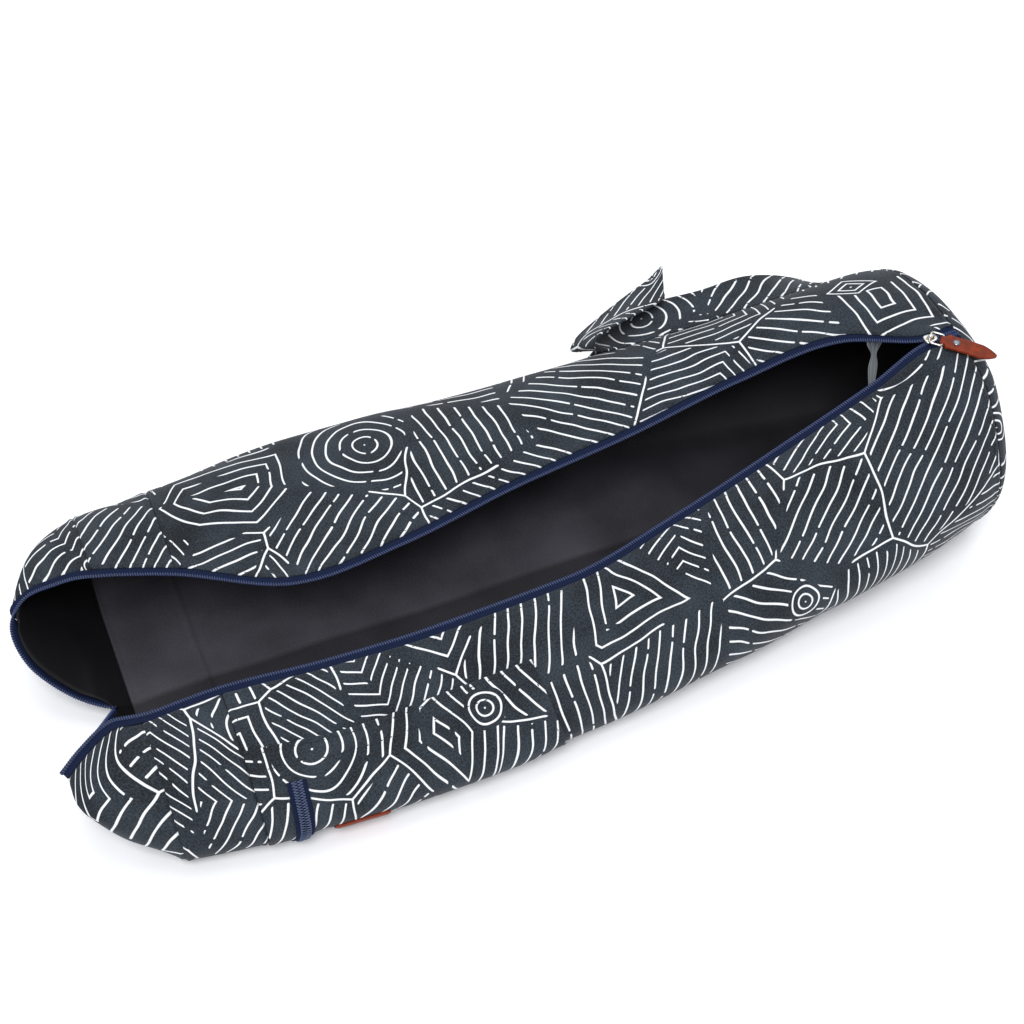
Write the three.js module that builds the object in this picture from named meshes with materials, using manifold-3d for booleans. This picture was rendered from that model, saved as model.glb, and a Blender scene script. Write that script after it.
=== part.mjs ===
// A roll-up mat bag of printed canvas, lying on its back with its long zip open.
// Millimetres, +Z up. X runs from the open end to the zip slider, Y from the near wall to the far wall.
import * as THREE from "three";
import Module from "manifold-3d";
import { mergeVertices } from "three/addons/utils/BufferGeometryUtils.js";

const wasm = await Module();
wasm.setup();

// Driving sizes of the cloth
const BODY_LENGTH = 690; // between the seams of the two end pieces
const BODY_DIAMETER = 203; // of the filled bag, which the section table follows
const CANVAS = 1.5; // printed outer cloth
const LINING = 1; // black inner cloth
const LAYER_GAP = 0.4; // between two layers of cloth
const SEAM_GAP = 0.5; // between two pieces sewn edge to edge
const END_BULGE = 20; // how far the closed end swells past its seam
const BAND_SHARE = 0.088; // of the length, from the open end to the band's seam

// The long zip
const TAPE_REACH = 6; // from the coil's middle to the canvas edge
const TAPE_THICK = 0.7;
const TAPE_DEPTH = 1; // tape's upper face under the canvas's face
const COIL_RADIUS = 1.4;
const COIL_CLEAR = 0.45;
const COIL_SIDES = 6;

// Slider, ring and leather pull
const SLIDER_LENGTH = 11;
const SLIDER_WIDTH = 8.6;
const PLATE_THICK = 1.1;
const POST_WIDTH = 1.6;
const BRIDGE_HEIGHT = 4.2;
const BRIDGE_WIDTH = 2.6;
const BRIDGE_EYE = [5, 2.7]; // length and height
const RING_WIRE = 0.8; // radius
const RING_WIDTH = 12;
const RING_CORNER = 2.4;
const RING_LENGTH = 10.4;
const TAB_LENGTH = 43;
const TAB_WIDTH = 13.5;
const TAB_THICK = 3.2;
const TAB_FOLD = 2.4; // leather that wraps the ring
const TAB_DROP_DEG = 5;
const TAB_TURN_DEG = -40;
const RIVET_RADIUS = 2.9;
const RIVET_RISE = 1;
const RIVET_NECK = 0.62; // share of its radius
const RIVET_AT = 0.24; // share of the pull's length

// Pocket with its short zip and its leather patch
const POCKET = 1.2;
const POCKET_ROWS = 7;
const POCKET_LENGTH = 224; // along its open top
const POCKET_SLANT = 14; // how much longer its foot is
const SIDE_ZIP_WIDTH = 13;
const SIDE_ZIP_THICK = 0.7;
const SIDE_ZIP_AT = 26; // from the band's seam to the zip's middle
const SIDE_COIL_WIDTH = 5;
const SIDE_COIL_THICK = 1.3;
const PATCH_WIDTH = 42;
const PATCH_THICK = 1.6;
const PATCH_AT = 70; // from the band's seam to the patch's middle

// Carrying strap and the grey hanging tag inside
const STRAP_THICK = 2.2;
const STRAP_STEPS = 78;
const TAG_LENGTH = 62;
const TAG_WIDTH = 7;
const TAG_INSET = 3; // from the canvas's edge to the tag's top
const TAG_TOP_WIDTH = 15;
const TAG_THICK = 1;
const TAG_DROP = 2; // below the lining
const TAG_SWAY = [3, -5]; // its lower end, along and across the bag from its top
const TAG_AT = 0.92;

// One row for each section of the open bag: at is a share of the length, the rest are [y, z] as shares of
// the diameter, from the near edge of the mouth, round under the bag, to the far edge.
const SECTIONS = [
  {
    at: 0,
    nearLip: [-0.276, 0.384],
    nearShoulder: [-0.493, 0.335],
    nearSide: [-0.725, 0.138],
    nearFoot: [-0.66, 0],
    farFoot: [0.532, 0],
    farSide: [0.768, 0.177],
    farShoulder: [0.739, 0.335],
    farTop: [0.581, 0.414],
    farLip: [0.374, 0.424],
  },
  {
    at: 0.0855,
    nearLip: [-0.266, 0.389],
    nearShoulder: [-0.532, 0.345],
    nearSide: [-0.778, 0.138],
    nearFoot: [-0.695, 0],
    farFoot: [0.581, 0],
    farSide: [0.808, 0.187],
    farShoulder: [0.76, 0.33],
    farTop: [0.56, 0.412],
    farLip: [0.276, 0.404],
  },
  {
    at: 0.204,
    nearLip: [-0.305, 0.399],
    nearShoulder: [-0.571, 0.33],
    nearSide: [-0.805, 0.138],
    nearFoot: [-0.715, 0],
    farFoot: [0.601, 0],
    farSide: [0.847, 0.187],
    farShoulder: [0.8, 0.34],
    farTop: [0.522, 0.418],
    farLip: [0.079, 0.389],
  },
  {
    at: 0.335,
    nearLip: [-0.325, 0.414],
    nearShoulder: [-0.552, 0.325],
    nearSide: [-0.815, 0.138],
    nearFoot: [-0.72, 0],
    farFoot: [0.591, 0],
    farSide: [0.837, 0.197],
    farShoulder: [0.793, 0.35],
    farTop: [0.512, 0.428],
    farLip: [0.089, 0.404],
  },
  {
    at: 0.48,
    nearLip: [-0.325, 0.448],
    nearShoulder: [-0.552, 0.374],
    nearSide: [-0.785, 0.148],
    nearFoot: [-0.68, 0],
    farFoot: [0.552, 0],
    farSide: [0.788, 0.207],
    farShoulder: [0.74, 0.37],
    farTop: [0.512, 0.468],
    farLip: [0.163, 0.434],
  },
  {
    at: 0.625,
    nearLip: [-0.246, 0.507],
    nearShoulder: [-0.502, 0.433],
    nearSide: [-0.73, 0.187],
    nearFoot: [-0.61, 0],
    farFoot: [0.493, 0],
    farSide: [0.729, 0.236],
    farShoulder: [0.68, 0.433],
    farTop: [0.483, 0.527],
    farLip: [0.187, 0.498],
  },
  {
    at: 0.77,
    nearLip: [-0.158, 0.611],
    nearShoulder: [-0.424, 0.532],
    nearSide: [-0.675, 0.246],
    nearFoot: [-0.53, 0],
    farFoot: [0.433, 0],
    farSide: [0.67, 0.276],
    farShoulder: [0.611, 0.512],
    farTop: [0.424, 0.611],
    farLip: [0.217, 0.586],
  },
  {
    at: 0.8855,
    nearLip: [-0.099, 0.724],
    nearShoulder: [-0.365, 0.631],
    nearSide: [-0.62, 0.315],
    nearFoot: [-0.45, 0],
    farFoot: [0.374, 0],
    farSide: [0.611, 0.325],
    farShoulder: [0.555, 0.597],
    farTop: [0.36, 0.715],
    farLip: [0.163, 0.704],
  },
  {
    at: 0.965,
    nearLip: [-0.0486, 0.803],
    nearShoulder: [-0.325, 0.709],
    nearSide: [-0.56, 0.355],
    nearFoot: [-0.385, 0],
    farFoot: [0.335, 0],
    farSide: [0.575, 0.37],
    farShoulder: [0.515, 0.65],
    farTop: [0.27, 0.77],
    farLip: [-0.0302, 0.803],
  },
  {
    at: 1,
    nearLip: [-0.0486, 0.803],
    nearShoulder: [-0.305, 0.724],
    nearSide: [-0.52, 0.37],
    nearFoot: [-0.355, 0],
    farFoot: [0.305, 0],
    farSide: [0.55, 0.38],
    farShoulder: [0.495, 0.64],
    farTop: [0.25, 0.772],
    farLip: [-0.0302, 0.803],
  },
];
const MARKS = [
  "nearLip",
  "nearShoulder",
  "nearSide",
  "nearFoot",
  "farFoot",
  "farSide",
  "farShoulder",
  "farTop",
  "farLip",
];
const LAST_MARK = MARKS.length - 1;
const SPAN_COLUMNS = [4, 5, 4, 4, 4, 3, 3, 3]; // faces between one mark and the next
const BODY_ROWS = 18;
const BAND_ROWS = 2;

// The zip runs on over the open end, which falls apart in two flaps. Shares of the diameter, [x, y, z] from
// the end's seam, from the mouth's corner to the zip's bottom stop.
const ZIP_STOP = [-0.065, 0, 0.075];
const NEAR_SLIT = [
  [-0.1, -0.25, 0.37],
  [-0.235, -0.295, 0.325],
  [-0.315, -0.335, 0.285],
  [-0.26, -0.255, 0.235],
  [-0.165, -0.14, 0.16],
];
const FAR_SLIT = [
  [-0.13, 0.405, 0.385],
  [-0.26, 0.425, 0.33],
  [-0.335, 0.335, 0.305],
  [-0.318, 0.205, 0.235],
  [-0.2, 0.08, 0.13],
];
const FLAP_ROWS = 6;
const FLAP_SWELL = { near: [-0.11, -0.03, -0.045], far: [-0.035, 0.06, 0.01] };

// Rings of the closed end between its seam and its middle: [share of the section, share of the bulge]
const END_PROFILE = [
  [0.965, 0.26],
  [0.87, 0.56],
  [0.62, 0.87],
];

// The strap's two long edges, from its sewn end by the slider, over its fold and its peak, and back behind
// the bag to its sewn end by the mouth's corner: [x as a share of the length, y, z as shares of the diameter].
const STRAP_EDGES = [
  { low: [0.955, 0.564, 0.58], high: [0.955, 0.599, 0.395] },
  { low: [0.925, 0.582, 0.598], high: [0.925, 0.7, 0.47] },
  { low: [0.853, 0.557, 0.592], high: [0.853, 0.748, 0.549] },
  { low: [0.796, 0.591, 0.541], high: [0.796, 0.784, 0.505] },
  { low: [0.737, 0.627, 0.507], high: [0.737, 0.82, 0.475] },
  { low: [0.7, 0.63, 0.5], high: [0.705, 0.82, 0.452] },
  { low: [0.675, 0.632, 0.497], high: [0.684, 0.814, 0.424] },
  { low: [0.655, 0.642, 0.492], high: [0.639, 0.775, 0.369] },
  { low: [0.642, 0.662, 0.517], high: [0.625, 0.78, 0.384] },
  { low: [0.649, 0.677, 0.556], high: [0.633, 0.8, 0.424] },
  { low: [0.675, 0.689, 0.579], high: [0.668, 0.839, 0.469] },
  { low: [0.707, 0.714, 0.579], high: [0.71, 0.883, 0.502] },
  { low: [0.736, 0.755, 0.551], high: [0.752, 0.942, 0.502] },
  { low: [0.749, 0.79, 0.527], high: [0.771, 0.967, 0.517] },
  { low: [0.755, 0.819, 0.477], high: [0.771, 0.992, 0.472] },
  { low: [0.749, 0.85, 0.39], high: [0.757, 1.01, 0.385] },
  { low: [0.732, 0.865, 0.27], high: [0.741, 0.995, 0.24] },
  { low: [0.697, 0.84, 0.138], high: [0.7, 0.94, 0.246] },
  { low: [0.639, 0.818, 0.025], high: [0.642, 0.837, 0.207] },
  { low: [0.567, 0.818, 0.02], high: [0.567, 0.828, 0.217] },
  { low: [0.451, 0.867, 0.015], high: [0.451, 0.872, 0.212] },
  { low: [0.291, 0.901, 0.02], high: [0.291, 0.901, 0.217] },
  { low: [0.161, 0.892, 0.039], high: [0.161, 0.892, 0.236] },
  { low: [0.088, 0.848, 0.064], high: [0.088, 0.848, 0.261] },
  { low: [0.028, 0.784, 0.079], high: [0.028, 0.804, 0.276] },
];

const radians = THREE.MathUtils.degToRad;
const vector = (p) => new THREE.Vector3(p[0], p[1], p[2]);

// Value at x of a smooth curve through (xs, ys), which stays level where two points are level.
function through(xs, ys, x) {
  const last = xs.length - 1;
  let k = 0;
  while (k < last - 1 && x > xs[k + 1]) k += 1;
  const rate = (i) => (ys[i + 1] - ys[i]) / (xs[i + 1] - xs[i]);
  const slope = (i) => {
    if (i === 0 || i === last) return rate(Math.min(i, last - 1));
    const [before, after] = [rate(i - 1), rate(i)];
    return before * after === 0 ? 0 : (before + after) / 2;
  };
  const step = xs[k + 1] - xs[k];
  const t = (x - xs[k]) / step;
  const rise = ys[k + 1] - ys[k];
  const swing = t * (1 - t) * ((1 - t) * (slope(k) * step - rise) - t * (slope(k + 1) * step - rise));
  return ys[k] + t * rise + swing;
}

// The section curve at a share of the length, made once for each share.
const sectionStations = SECTIONS.map((row) => row.at);
const sectionCurves = new Map();
function sectionCurve(at) {
  if (!sectionCurves.has(at)) {
    const points = MARKS.map((mark) => {
      const [y, z] = [0, 1].map((axis) => {
        const shares = SECTIONS.map((row) => row[mark][axis]);
        return BODY_DIAMETER * through(sectionStations, shares, at);
      });
      return new THREE.Vector3(at * BODY_LENGTH, y, z);
    });
    sectionCurves.set(at, new THREE.CatmullRomCurve3(points, false, "centripetal"));
  }
  return sectionCurves.get(at);
}

// A point of the body's outer face. round counts the marks of the section table.
function bodyPoint(at, round) {
  const p = sectionCurve(at).getPoint(round / LAST_MARK);
  p.z = Math.max(p.z, 0);
  return p;
}

function bodyNormal(at, round) {
  const step = 0.004;
  const a = Math.min(Math.max(at, step), 1 - step);
  const r = Math.min(Math.max(round, step), LAST_MARK - step);
  const along = bodyPoint(a + step, r).sub(bodyPoint(a - step, r));
  const across = bodyPoint(a, r + step).sub(bodyPoint(a, r - step));
  return across.cross(along).normalize();
}

// The mark count at which the section is a given distance from the mouth's near or far edge.
function roundFromEdge(at, distance, far) {
  const steps = 60;
  const way = (k) => (far ? LAST_MARK - k / steps : k / steps);
  let walked = 0;
  for (let k = 1; k <= steps; k += 1) {
    const piece = bodyPoint(at, way(k)).distanceTo(bodyPoint(at, way(k - 1)));
    if (walked + piece >= distance) return way(k - 1 + (distance - walked) / piece);
    walked += piece;
  }
  return way(steps);
}

// Mark counts of the canvas's columns at one section.
function columnRounds(at) {
  const first = roundFromEdge(at, TAPE_REACH, false);
  const last = roundFromEdge(at, TAPE_REACH, true);
  const rounds = [];
  SPAN_COLUMNS.forEach((count, span) => {
    const from = span === 0 ? first : span;
    const to = span === LAST_MARK - 1 ? last : span + 1;
    for (let k = 0; k < count; k += 1) rounds.push(from + ((to - from) * k) / count);
  });
  rounds.push(last);
  return rounds;
}

const rowStations = [];
for (let i = 0; i < BAND_ROWS; i += 1) rowStations.push((BAND_SHARE * i) / BAND_ROWS);
for (let i = 0; i <= BODY_ROWS; i += 1) rowStations.push(BAND_SHARE + ((1 - BAND_SHARE) * i) / BODY_ROWS);
const COLUMNS = SPAN_COLUMNS.reduce((a, b) => a + b, 0);
const MIDDLE = COLUMNS / 2; // the column that ends at the zip's bottom stop

// A surface of numbered points and outward triangles, sorted in named regions.
const cloth = { points: [], triangles: [] };
function addPoint(p) {
  cloth.points.push(p);
  return cloth.points.length - 1;
}
function addFaces(region, lower, upper) {
  for (let j = 0; j + 1 < lower.length; j += 1) {
    const faces = [
      [lower[j], lower[j + 1], upper[j]],
      [lower[j + 1], upper[j + 1], upper[j]],
    ];
    faces
      .filter(([a, b, c]) => a !== b && b !== c && c !== a)
      .forEach((face) => cloth.triangles.push({ region, face }));
  }
}

const bodyRows = rowStations.map((at) => columnRounds(at).map((round) => addPoint(bodyPoint(at, round))));

// The open end's flaps, drawn from the seam to a line one tape's reach short of the zip's coil.
function slitCurve(corner, shares) {
  const scaled = [...shares, ZIP_STOP].map((p) => vector(p).multiplyScalar(BODY_DIAMETER));
  return new THREE.CatmullRomCurve3([corner, ...scaled], false, "centripetal");
}
const nearSlit = slitCurve(bodyPoint(0, 0), NEAR_SLIT);
const farSlit = slitCurve(bodyPoint(0, LAST_MARK), FAR_SLIT);
const flapColumns = bodyRows[0].map((seamIndex, j) => {
  const near = j <= MIDDLE;
  const share = near ? j / MIDDLE : (COLUMNS - j) / (COLUMNS - MIDDLE);
  const slit = near ? nearSlit : farSlit;
  const coil = slit.getPointAt(share);
  const along = slit.getTangentAt(share);
  const seam = cloth.points[seamIndex];
  const swell = vector(near ? FLAP_SWELL.near : FLAP_SWELL.far);
  swell.multiplyScalar(BODY_DIAMETER * Math.sin(Math.PI * share));
  const inward = seam.clone().sub(coil).addScaledVector(swell, 1.2).projectOnPlane(along).normalize();
  const edge = coil.clone().addScaledVector(inward, TAPE_REACH);
  return { seam, swell, edge, coil };
});
const flapRows = [];
for (let i = FLAP_ROWS; i >= 1; i -= 1) {
  const t = i / FLAP_ROWS;
  flapRows.push(
    flapColumns.map((column, j) => {
      if (j === 0 || j === COLUMNS) return bodyRows[0][j];
      const p = column.seam.clone().lerp(column.edge, t).addScaledVector(column.swell, Math.sin(Math.PI * t));
      p.z = Math.max(p.z, 0);
      return addPoint(p);
    }),
  );
}

const endMiddle = new THREE.Vector3();
bodyRows.at(-1).forEach((index) => endMiddle.addScaledVector(cloth.points[index], 1 / (COLUMNS + 1)));
const endRows = END_PROFILE.map(([share, rise]) =>
  bodyRows.at(-1).map((index) => {
    const p = endMiddle.clone().lerp(cloth.points[index], share);
    p.x += END_BULGE * rise;
    return addPoint(p);
  }),
);
const pole = addPoint(endMiddle.clone().add(new THREE.Vector3(END_BULGE, 0, 0)));
const closeRing = (row) => [...row, row[0]];

[...flapRows, bodyRows[0]].reduce((lower, upper) => {
  addFaces("open_end", lower, upper);
  return upper;
});
bodyRows.reduce((lower, upper, i) => {
  addFaces(i <= BAND_ROWS ? "band" : "body", lower, upper);
  return upper;
});
[bodyRows.at(-1), ...endRows, bodyRows[0].map(() => pole)].map(closeRing).reduce((lower, upper) => {
  addFaces("closed_end", lower, upper);
  return upper;
});

function cornerNormals(points, faces) {
  const normals = points.map(() => new THREE.Vector3());
  faces.forEach(([a, b, c]) => {
    const across = points[b].clone().sub(points[a]);
    const n = across.cross(points[c].clone().sub(points[a]));
    [a, b, c].forEach((k) => normals[k].add(n));
  });
  return normals.map((n) => n.normalize());
}
const clothNormals = cornerNormals(cloth.points, cloth.triangles.map((t) => t.face));

function geometryOf(points, faces) {
  const geometry = new THREE.BufferGeometry();
  const numbers = points.flatMap((p) => [p.x, p.y, p.z]);
  geometry.setAttribute("position", new THREE.Float32BufferAttribute(numbers, 3));
  geometry.setIndex(faces.flat());
  return geometry;
}

// A closed wall: the faces moved out by outer and in by inner along the normals, joined round their free
// edges, which are first drawn in by half a seam's gap.
function wall(points, normals, faces, outer, inner) {
  const used = [...new Set(faces.flat())];
  const place = new Map(used.map((index, k) => [index, k]));
  const edges = new Map();
  faces.forEach((face) =>
    face.forEach((a, k) => {
      const b = face[(k + 1) % 3];
      if (edges.has(`${b},${a}`)) edges.delete(`${b},${a}`);
      else edges.set(`${a},${b}`, [a, b]);
    }),
  );
  const rim = new Map([...edges.values()].flat().map((index) => [index, new THREE.Vector3()]));
  faces.forEach((face) => {
    const centre = face.reduce((sum, k) => sum.addScaledVector(points[k], 1 / 3), new THREE.Vector3());
    face.filter((k) => rim.has(k)).forEach((k) => rim.get(k).add(centre.clone().sub(points[k])));
  });
  rim.forEach((way, k) => way.addScaledVector(normals[k], -way.dot(normals[k])).setLength(SEAM_GAP / 2));
  const moved = (distance) =>
    used.map((k) => {
      const p = points[k].clone().addScaledVector(normals[k], distance);
      return rim.has(k) ? p.add(rim.get(k)) : p;
    });
  const count = used.length;
  const solidFaces = [];
  faces.forEach((face) => {
    const [a, b, c] = face.map((k) => place.get(k));
    solidFaces.push([a, b, c], [count + a, count + c, count + b]);
  });
  edges.forEach(([a, b]) => {
    const [p, q] = [place.get(a), place.get(b)];
    solidFaces.push([q, p, count + p], [q, count + p, count + q]);
  });
  return geometryOf([...moved(outer), ...moved(inner)], solidFaces);
}

function clothWall(regions, outer, inner) {
  const faces = cloth.triangles.filter((t) => regions.includes(t.region)).map((t) => t.face);
  return wall(cloth.points, clothNormals, faces, outer, inner);
}

// A wall on rows of points, each row as long as the next.
function sheetWall(rows, normals, outer, inner) {
  const width = rows[0].length;
  const faces = [];
  for (let i = 0; i + 1 < rows.length; i += 1) {
    for (let j = 0; j + 1 < width; j += 1) {
      const [a, c] = [i * width + j, (i + 1) * width + j];
      faces.push([a, a + 1, c], [a + 1, c + 1, c]);
    }
  }
  return wall(rows.flat(), normals.flat(), faces, outer, inner);
}

// A patch that lies on the body between two lengths, over the body's own columns, so its faces follow theirs.
function patchOnBody({ from, length, slant = 0, rows, columns, outer, inner }) {
  const points = [];
  const normals = [];
  for (let i = 0; i <= rows; i += 1) {
    const places = columns.map((column, k) => {
      const reach = length + (slant * k) / (columns.length - 1);
      const at = (from + (reach * i) / rows) / BODY_LENGTH;
      return [at, columnRounds(at)[column]];
    });
    points.push(places.map((place) => bodyPoint(...place)));
    normals.push(places.map((place) => bodyNormal(...place)));
  }
  return sheetWall(points, normals, outer, inner);
}

// Everything the two halves of the zip need, row by row, from the slider end to the bottom stop.
function zipLine(far) {
  const edgeColumn = far ? COLUMNS : 0;
  const onBody = rowStations
    .map((at, i) => ({ coil: bodyPoint(at, far ? LAST_MARK : 0), index: bodyRows[i][edgeColumn] }))
    .reverse();
  const onFlap = flapColumns
    .map((column, j) => ({ coil: column.coil, index: flapRows[0][j] }))
    .filter((column, j) => (far ? j > MIDDLE && j < COLUMNS : j > 0 && j < MIDDLE));
  if (far) onFlap.reverse();
  return [...onBody, ...onFlap].map(({ coil, index }) => {
    return { coil, edge: cloth.points[index], normal: clothNormals[index] };
  });
}

function tapeWall(line, far) {
  const shares = [COIL_RADIUS + COIL_CLEAR, TAPE_REACH - SEAM_GAP / 2].map((reach) => reach / TAPE_REACH);
  const rows = line.map(({ coil, edge }) => {
    const row = shares.map((share) => coil.clone().lerp(edge, share));
    return far ? row : row.reverse();
  });
  const normals = line.map(({ normal }) => [normal, normal]);
  return sheetWall(rows, normals, -TAPE_DEPTH, -TAPE_DEPTH - TAPE_THICK);
}

// A rope of few sides along rows of {centre, side, up}.
function rope(rows, radius, sides, closed) {
  const points = [];
  rows.forEach(({ centre, side, up }) => {
    for (let k = 0; k < sides; k += 1) {
      const turn = (2 * Math.PI * k) / sides;
      const p = centre.clone().addScaledVector(side, radius * Math.cos(turn));
      points.push(p.addScaledVector(up, radius * Math.sin(turn)));
    }
  });
  const faces = [];
  const last = closed ? rows.length : rows.length - 1;
  for (let i = 0; i < last; i += 1) {
    for (let k = 0; k < sides; k += 1) {
      const next = (i + 1) % rows.length;
      const [a, b] = [i * sides + k, i * sides + ((k + 1) % sides)];
      const [c, d] = [next * sides + k, next * sides + ((k + 1) % sides)];
      faces.push([a, b, c], [b, d, c]);
    }
  }
  if (!closed) {
    const end = (rows.length - 1) * sides;
    for (let k = 1; k + 1 < sides; k += 1) faces.push([0, k + 1, k], [end, end + k, end + k + 1]);
  }
  return geometryOf(points, faces);
}

function coilRope(line) {
  const rows = line.map(({ coil, edge, normal }, i) => {
    const [before, after] = [line[Math.max(i - 1, 0)], line[Math.min(i + 1, line.length - 1)]];
    const along = after.coil.clone().sub(before.coil).normalize();
    const side = edge.clone().sub(coil).projectOnPlane(along).normalize();
    const up = along.clone().cross(side).normalize();
    return { centre: coil.clone().addScaledVector(normal, -TAPE_DEPTH - TAPE_THICK / 2), side, up };
  });
  return rope(rows, COIL_RADIUS, COIL_SIDES, false);
}

// Closed meshes joined or cut with manifold-3d.
function solidOf(geometry) {
  const bare = geometry.clone();
  ["normal", "uv"].forEach((name) => bare.deleteAttribute(name));
  const merged = mergeVertices(bare, 1e-4);
  const vertProperties = merged.attributes.position.array;
  const triVerts = new Uint32Array(merged.index.array);
  return new wasm.Manifold(new wasm.Mesh({ numProp: 3, vertProperties, triVerts }));
}
function geometryFrom(solid) {
  const mesh = solid.getMesh();
  const geometry = new THREE.BufferGeometry();
  geometry.setAttribute("position", new THREE.BufferAttribute(new Float32Array(mesh.vertProperties), 3));
  geometry.setIndex(new THREE.BufferAttribute(new Uint32Array(mesh.triVerts), 1));
  return geometry;
}
const block = (x, y, z, cx, cy, cz) => solidOf(new THREE.BoxGeometry(x, y, z).translate(cx, cy, cz));

// Materials
function finish(color, roughness, metalness) {
  return new THREE.MeshStandardMaterial({ color, roughness, metalness });
}
const materials = {
  canvas: finish("#39424a", 0.9, 0),
  lining: finish("#141416", 0.75, 0),
  tape: finish("#1d2a52", 0.85, 0),
  coil: finish("#1b2850", 0.4, 0),
  metal: finish("#c9c4ba", 0.25, 1),
  leather: finish("#a8492a", 0.5, 0),
  rivet: finish("#8f9aa3", 0.25, 1),
  tag: finish("#8b9096", 0.7, 0),
};

const bag = new THREE.Group();
function add(name, geometry, material, parent = bag) {
  const mesh = new THREE.Mesh(geometry, materials[material]);
  mesh.name = name;
  parent.add(mesh);
  return mesh;
}

// Cloth of the bag
const liningFace = -CANVAS - LAYER_GAP;
add("body_canvas", clothWall(["body"], 0, -CANVAS), "canvas");
add("band_canvas", clothWall(["band"], 0, -CANVAS), "canvas");
add("open_end_canvas", clothWall(["open_end"], 0, -CANVAS), "canvas");
add("closed_end_canvas", clothWall(["closed_end"], 0, -CANVAS), "canvas");
const linedRegions = ["open_end", "band", "body", "closed_end"];
add("lining", clothWall(linedRegions, liningFace, liningFace - LINING), "lining");

// Long zip
const nearLine = zipLine(false);
const farLine = zipLine(true);
add("near_zip_tape", tapeWall(nearLine, false), "tape");
add("far_zip_tape", tapeWall(farLine, true), "tape");
add("near_zip_coil", coilRope(nearLine), "coil");
add("far_zip_coil", coilRope(farLine), "coil");

// Pocket on the near wall, with its zip and the leather patch
const pocketTop = SPAN_COLUMNS[0];
const pocketFoot = pocketTop + SPAN_COLUMNS[1] + SPAN_COLUMNS[2] - 1;
const columnList = (from, to) => Array.from({ length: to - from + 1 }, (_, k) => from + k);
const bandSeam = BAND_SHARE * BODY_LENGTH;
const pocketInner = LAYER_GAP;
const pocketOuter = pocketInner + POCKET;
add(
  "pocket_canvas",
  patchOnBody({
    from: bandSeam,
    length: POCKET_LENGTH,
    slant: POCKET_SLANT,
    rows: POCKET_ROWS,
    columns: columnList(pocketTop, pocketFoot),
    outer: pocketOuter,
    inner: pocketInner,
  }),
  "canvas",
);
const sideZipColumns = columnList(pocketTop + 2, pocketFoot);
const tapeInner = pocketOuter + LAYER_GAP;
const tapeOuter = tapeInner + SIDE_ZIP_THICK;
add(
  "side_zip_tape",
  patchOnBody({
    from: bandSeam + SIDE_ZIP_AT - SIDE_ZIP_WIDTH / 2,
    length: SIDE_ZIP_WIDTH,
    rows: 2,
    columns: sideZipColumns,
    outer: tapeOuter,
    inner: tapeInner,
  }),
  "tape",
);
add(
  "side_zip_coil",
  patchOnBody({
    from: bandSeam + SIDE_ZIP_AT - SIDE_COIL_WIDTH / 2,
    length: SIDE_COIL_WIDTH,
    rows: 1,
    columns: sideZipColumns,
    outer: tapeOuter + LAYER_GAP + SIDE_COIL_THICK,
    inner: tapeOuter + LAYER_GAP,
  }),
  "coil",
);
add(
  "leather_patch",
  patchOnBody({
    from: bandSeam + PATCH_AT - PATCH_WIDTH / 2,
    length: PATCH_WIDTH,
    rows: 2,
    columns: columnList(pocketFoot - 2, pocketFoot),
    outer: tapeInner + PATCH_THICK,
    inner: tapeInner,
  }),
  "leather",
);

// Strap: a flat band between its two long edges
function strapWall() {
  const inBag = ([x, y, z]) => new THREE.Vector3(x * BODY_LENGTH, y * BODY_DIAMETER, z * BODY_DIAMETER);
  const [low, high] = ["low", "high"].map(
    (edge) => new THREE.CatmullRomCurve3(STRAP_EDGES.map((row) => inBag(row[edge])), false, "centripetal"),
  );
  const rows = [];
  const normals = [];
  for (let k = 0; k <= STRAP_STEPS; k += 1) {
    const t = k / STRAP_STEPS;
    const [a, b] = [low.getPoint(t), high.getPoint(t)];
    const along = low.getTangent(t).add(high.getTangent(t));
    const face = b.clone().sub(a).cross(along).normalize();
    rows.push([a, a.clone().lerp(b, 0.5), b]);
    normals.push([face, face, face]);
  }
  return sheetWall(rows, normals, STRAP_THICK, 0);
}
add("shoulder_strap", strapWall(), "canvas");

// Slider on the zip where its two halves meet
const sliderAt = SECTIONS.at(-2).at;
const sliderTop = bodyPoint(sliderAt, 0).lerp(bodyPoint(sliderAt, LAST_MARK), 0.5);
const coilHeight = -TAPE_DEPTH - TAPE_THICK / 2;
const plateGap = COIL_RADIUS + COIL_CLEAR + 0.6;
function sliderSolid() {
  const plate = (z) => block(SLIDER_LENGTH, SLIDER_WIDTH, PLATE_THICK, 0, 0, z);
  const upper = coilHeight + plateGap + PLATE_THICK / 2;
  const lower = coilHeight - plateGap - PLATE_THICK / 2;
  const post = block(2.2, POST_WIDTH, 2 * plateGap + PLATE_THICK, -SLIDER_LENGTH / 2 + 1.1, 0, coilHeight);
  const [eyeLength, eyeHeight] = BRIDGE_EYE;
  const bridge = block(eyeLength + 2.4, BRIDGE_WIDTH, BRIDGE_HEIGHT, 0, 0, upper + BRIDGE_HEIGHT / 2);
  const eye = block(eyeLength, BRIDGE_WIDTH + 1, eyeHeight, 0, 0, upper + (PLATE_THICK + eyeHeight) / 2);
  return geometryFrom(plate(upper).add(plate(lower)).add(post).add(bridge).subtract(eye));
}
const slider = new THREE.Group();
slider.position.copy(sliderTop);
bag.add(slider);
add("zip_slider", sliderSolid(), "metal", slider);

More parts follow.
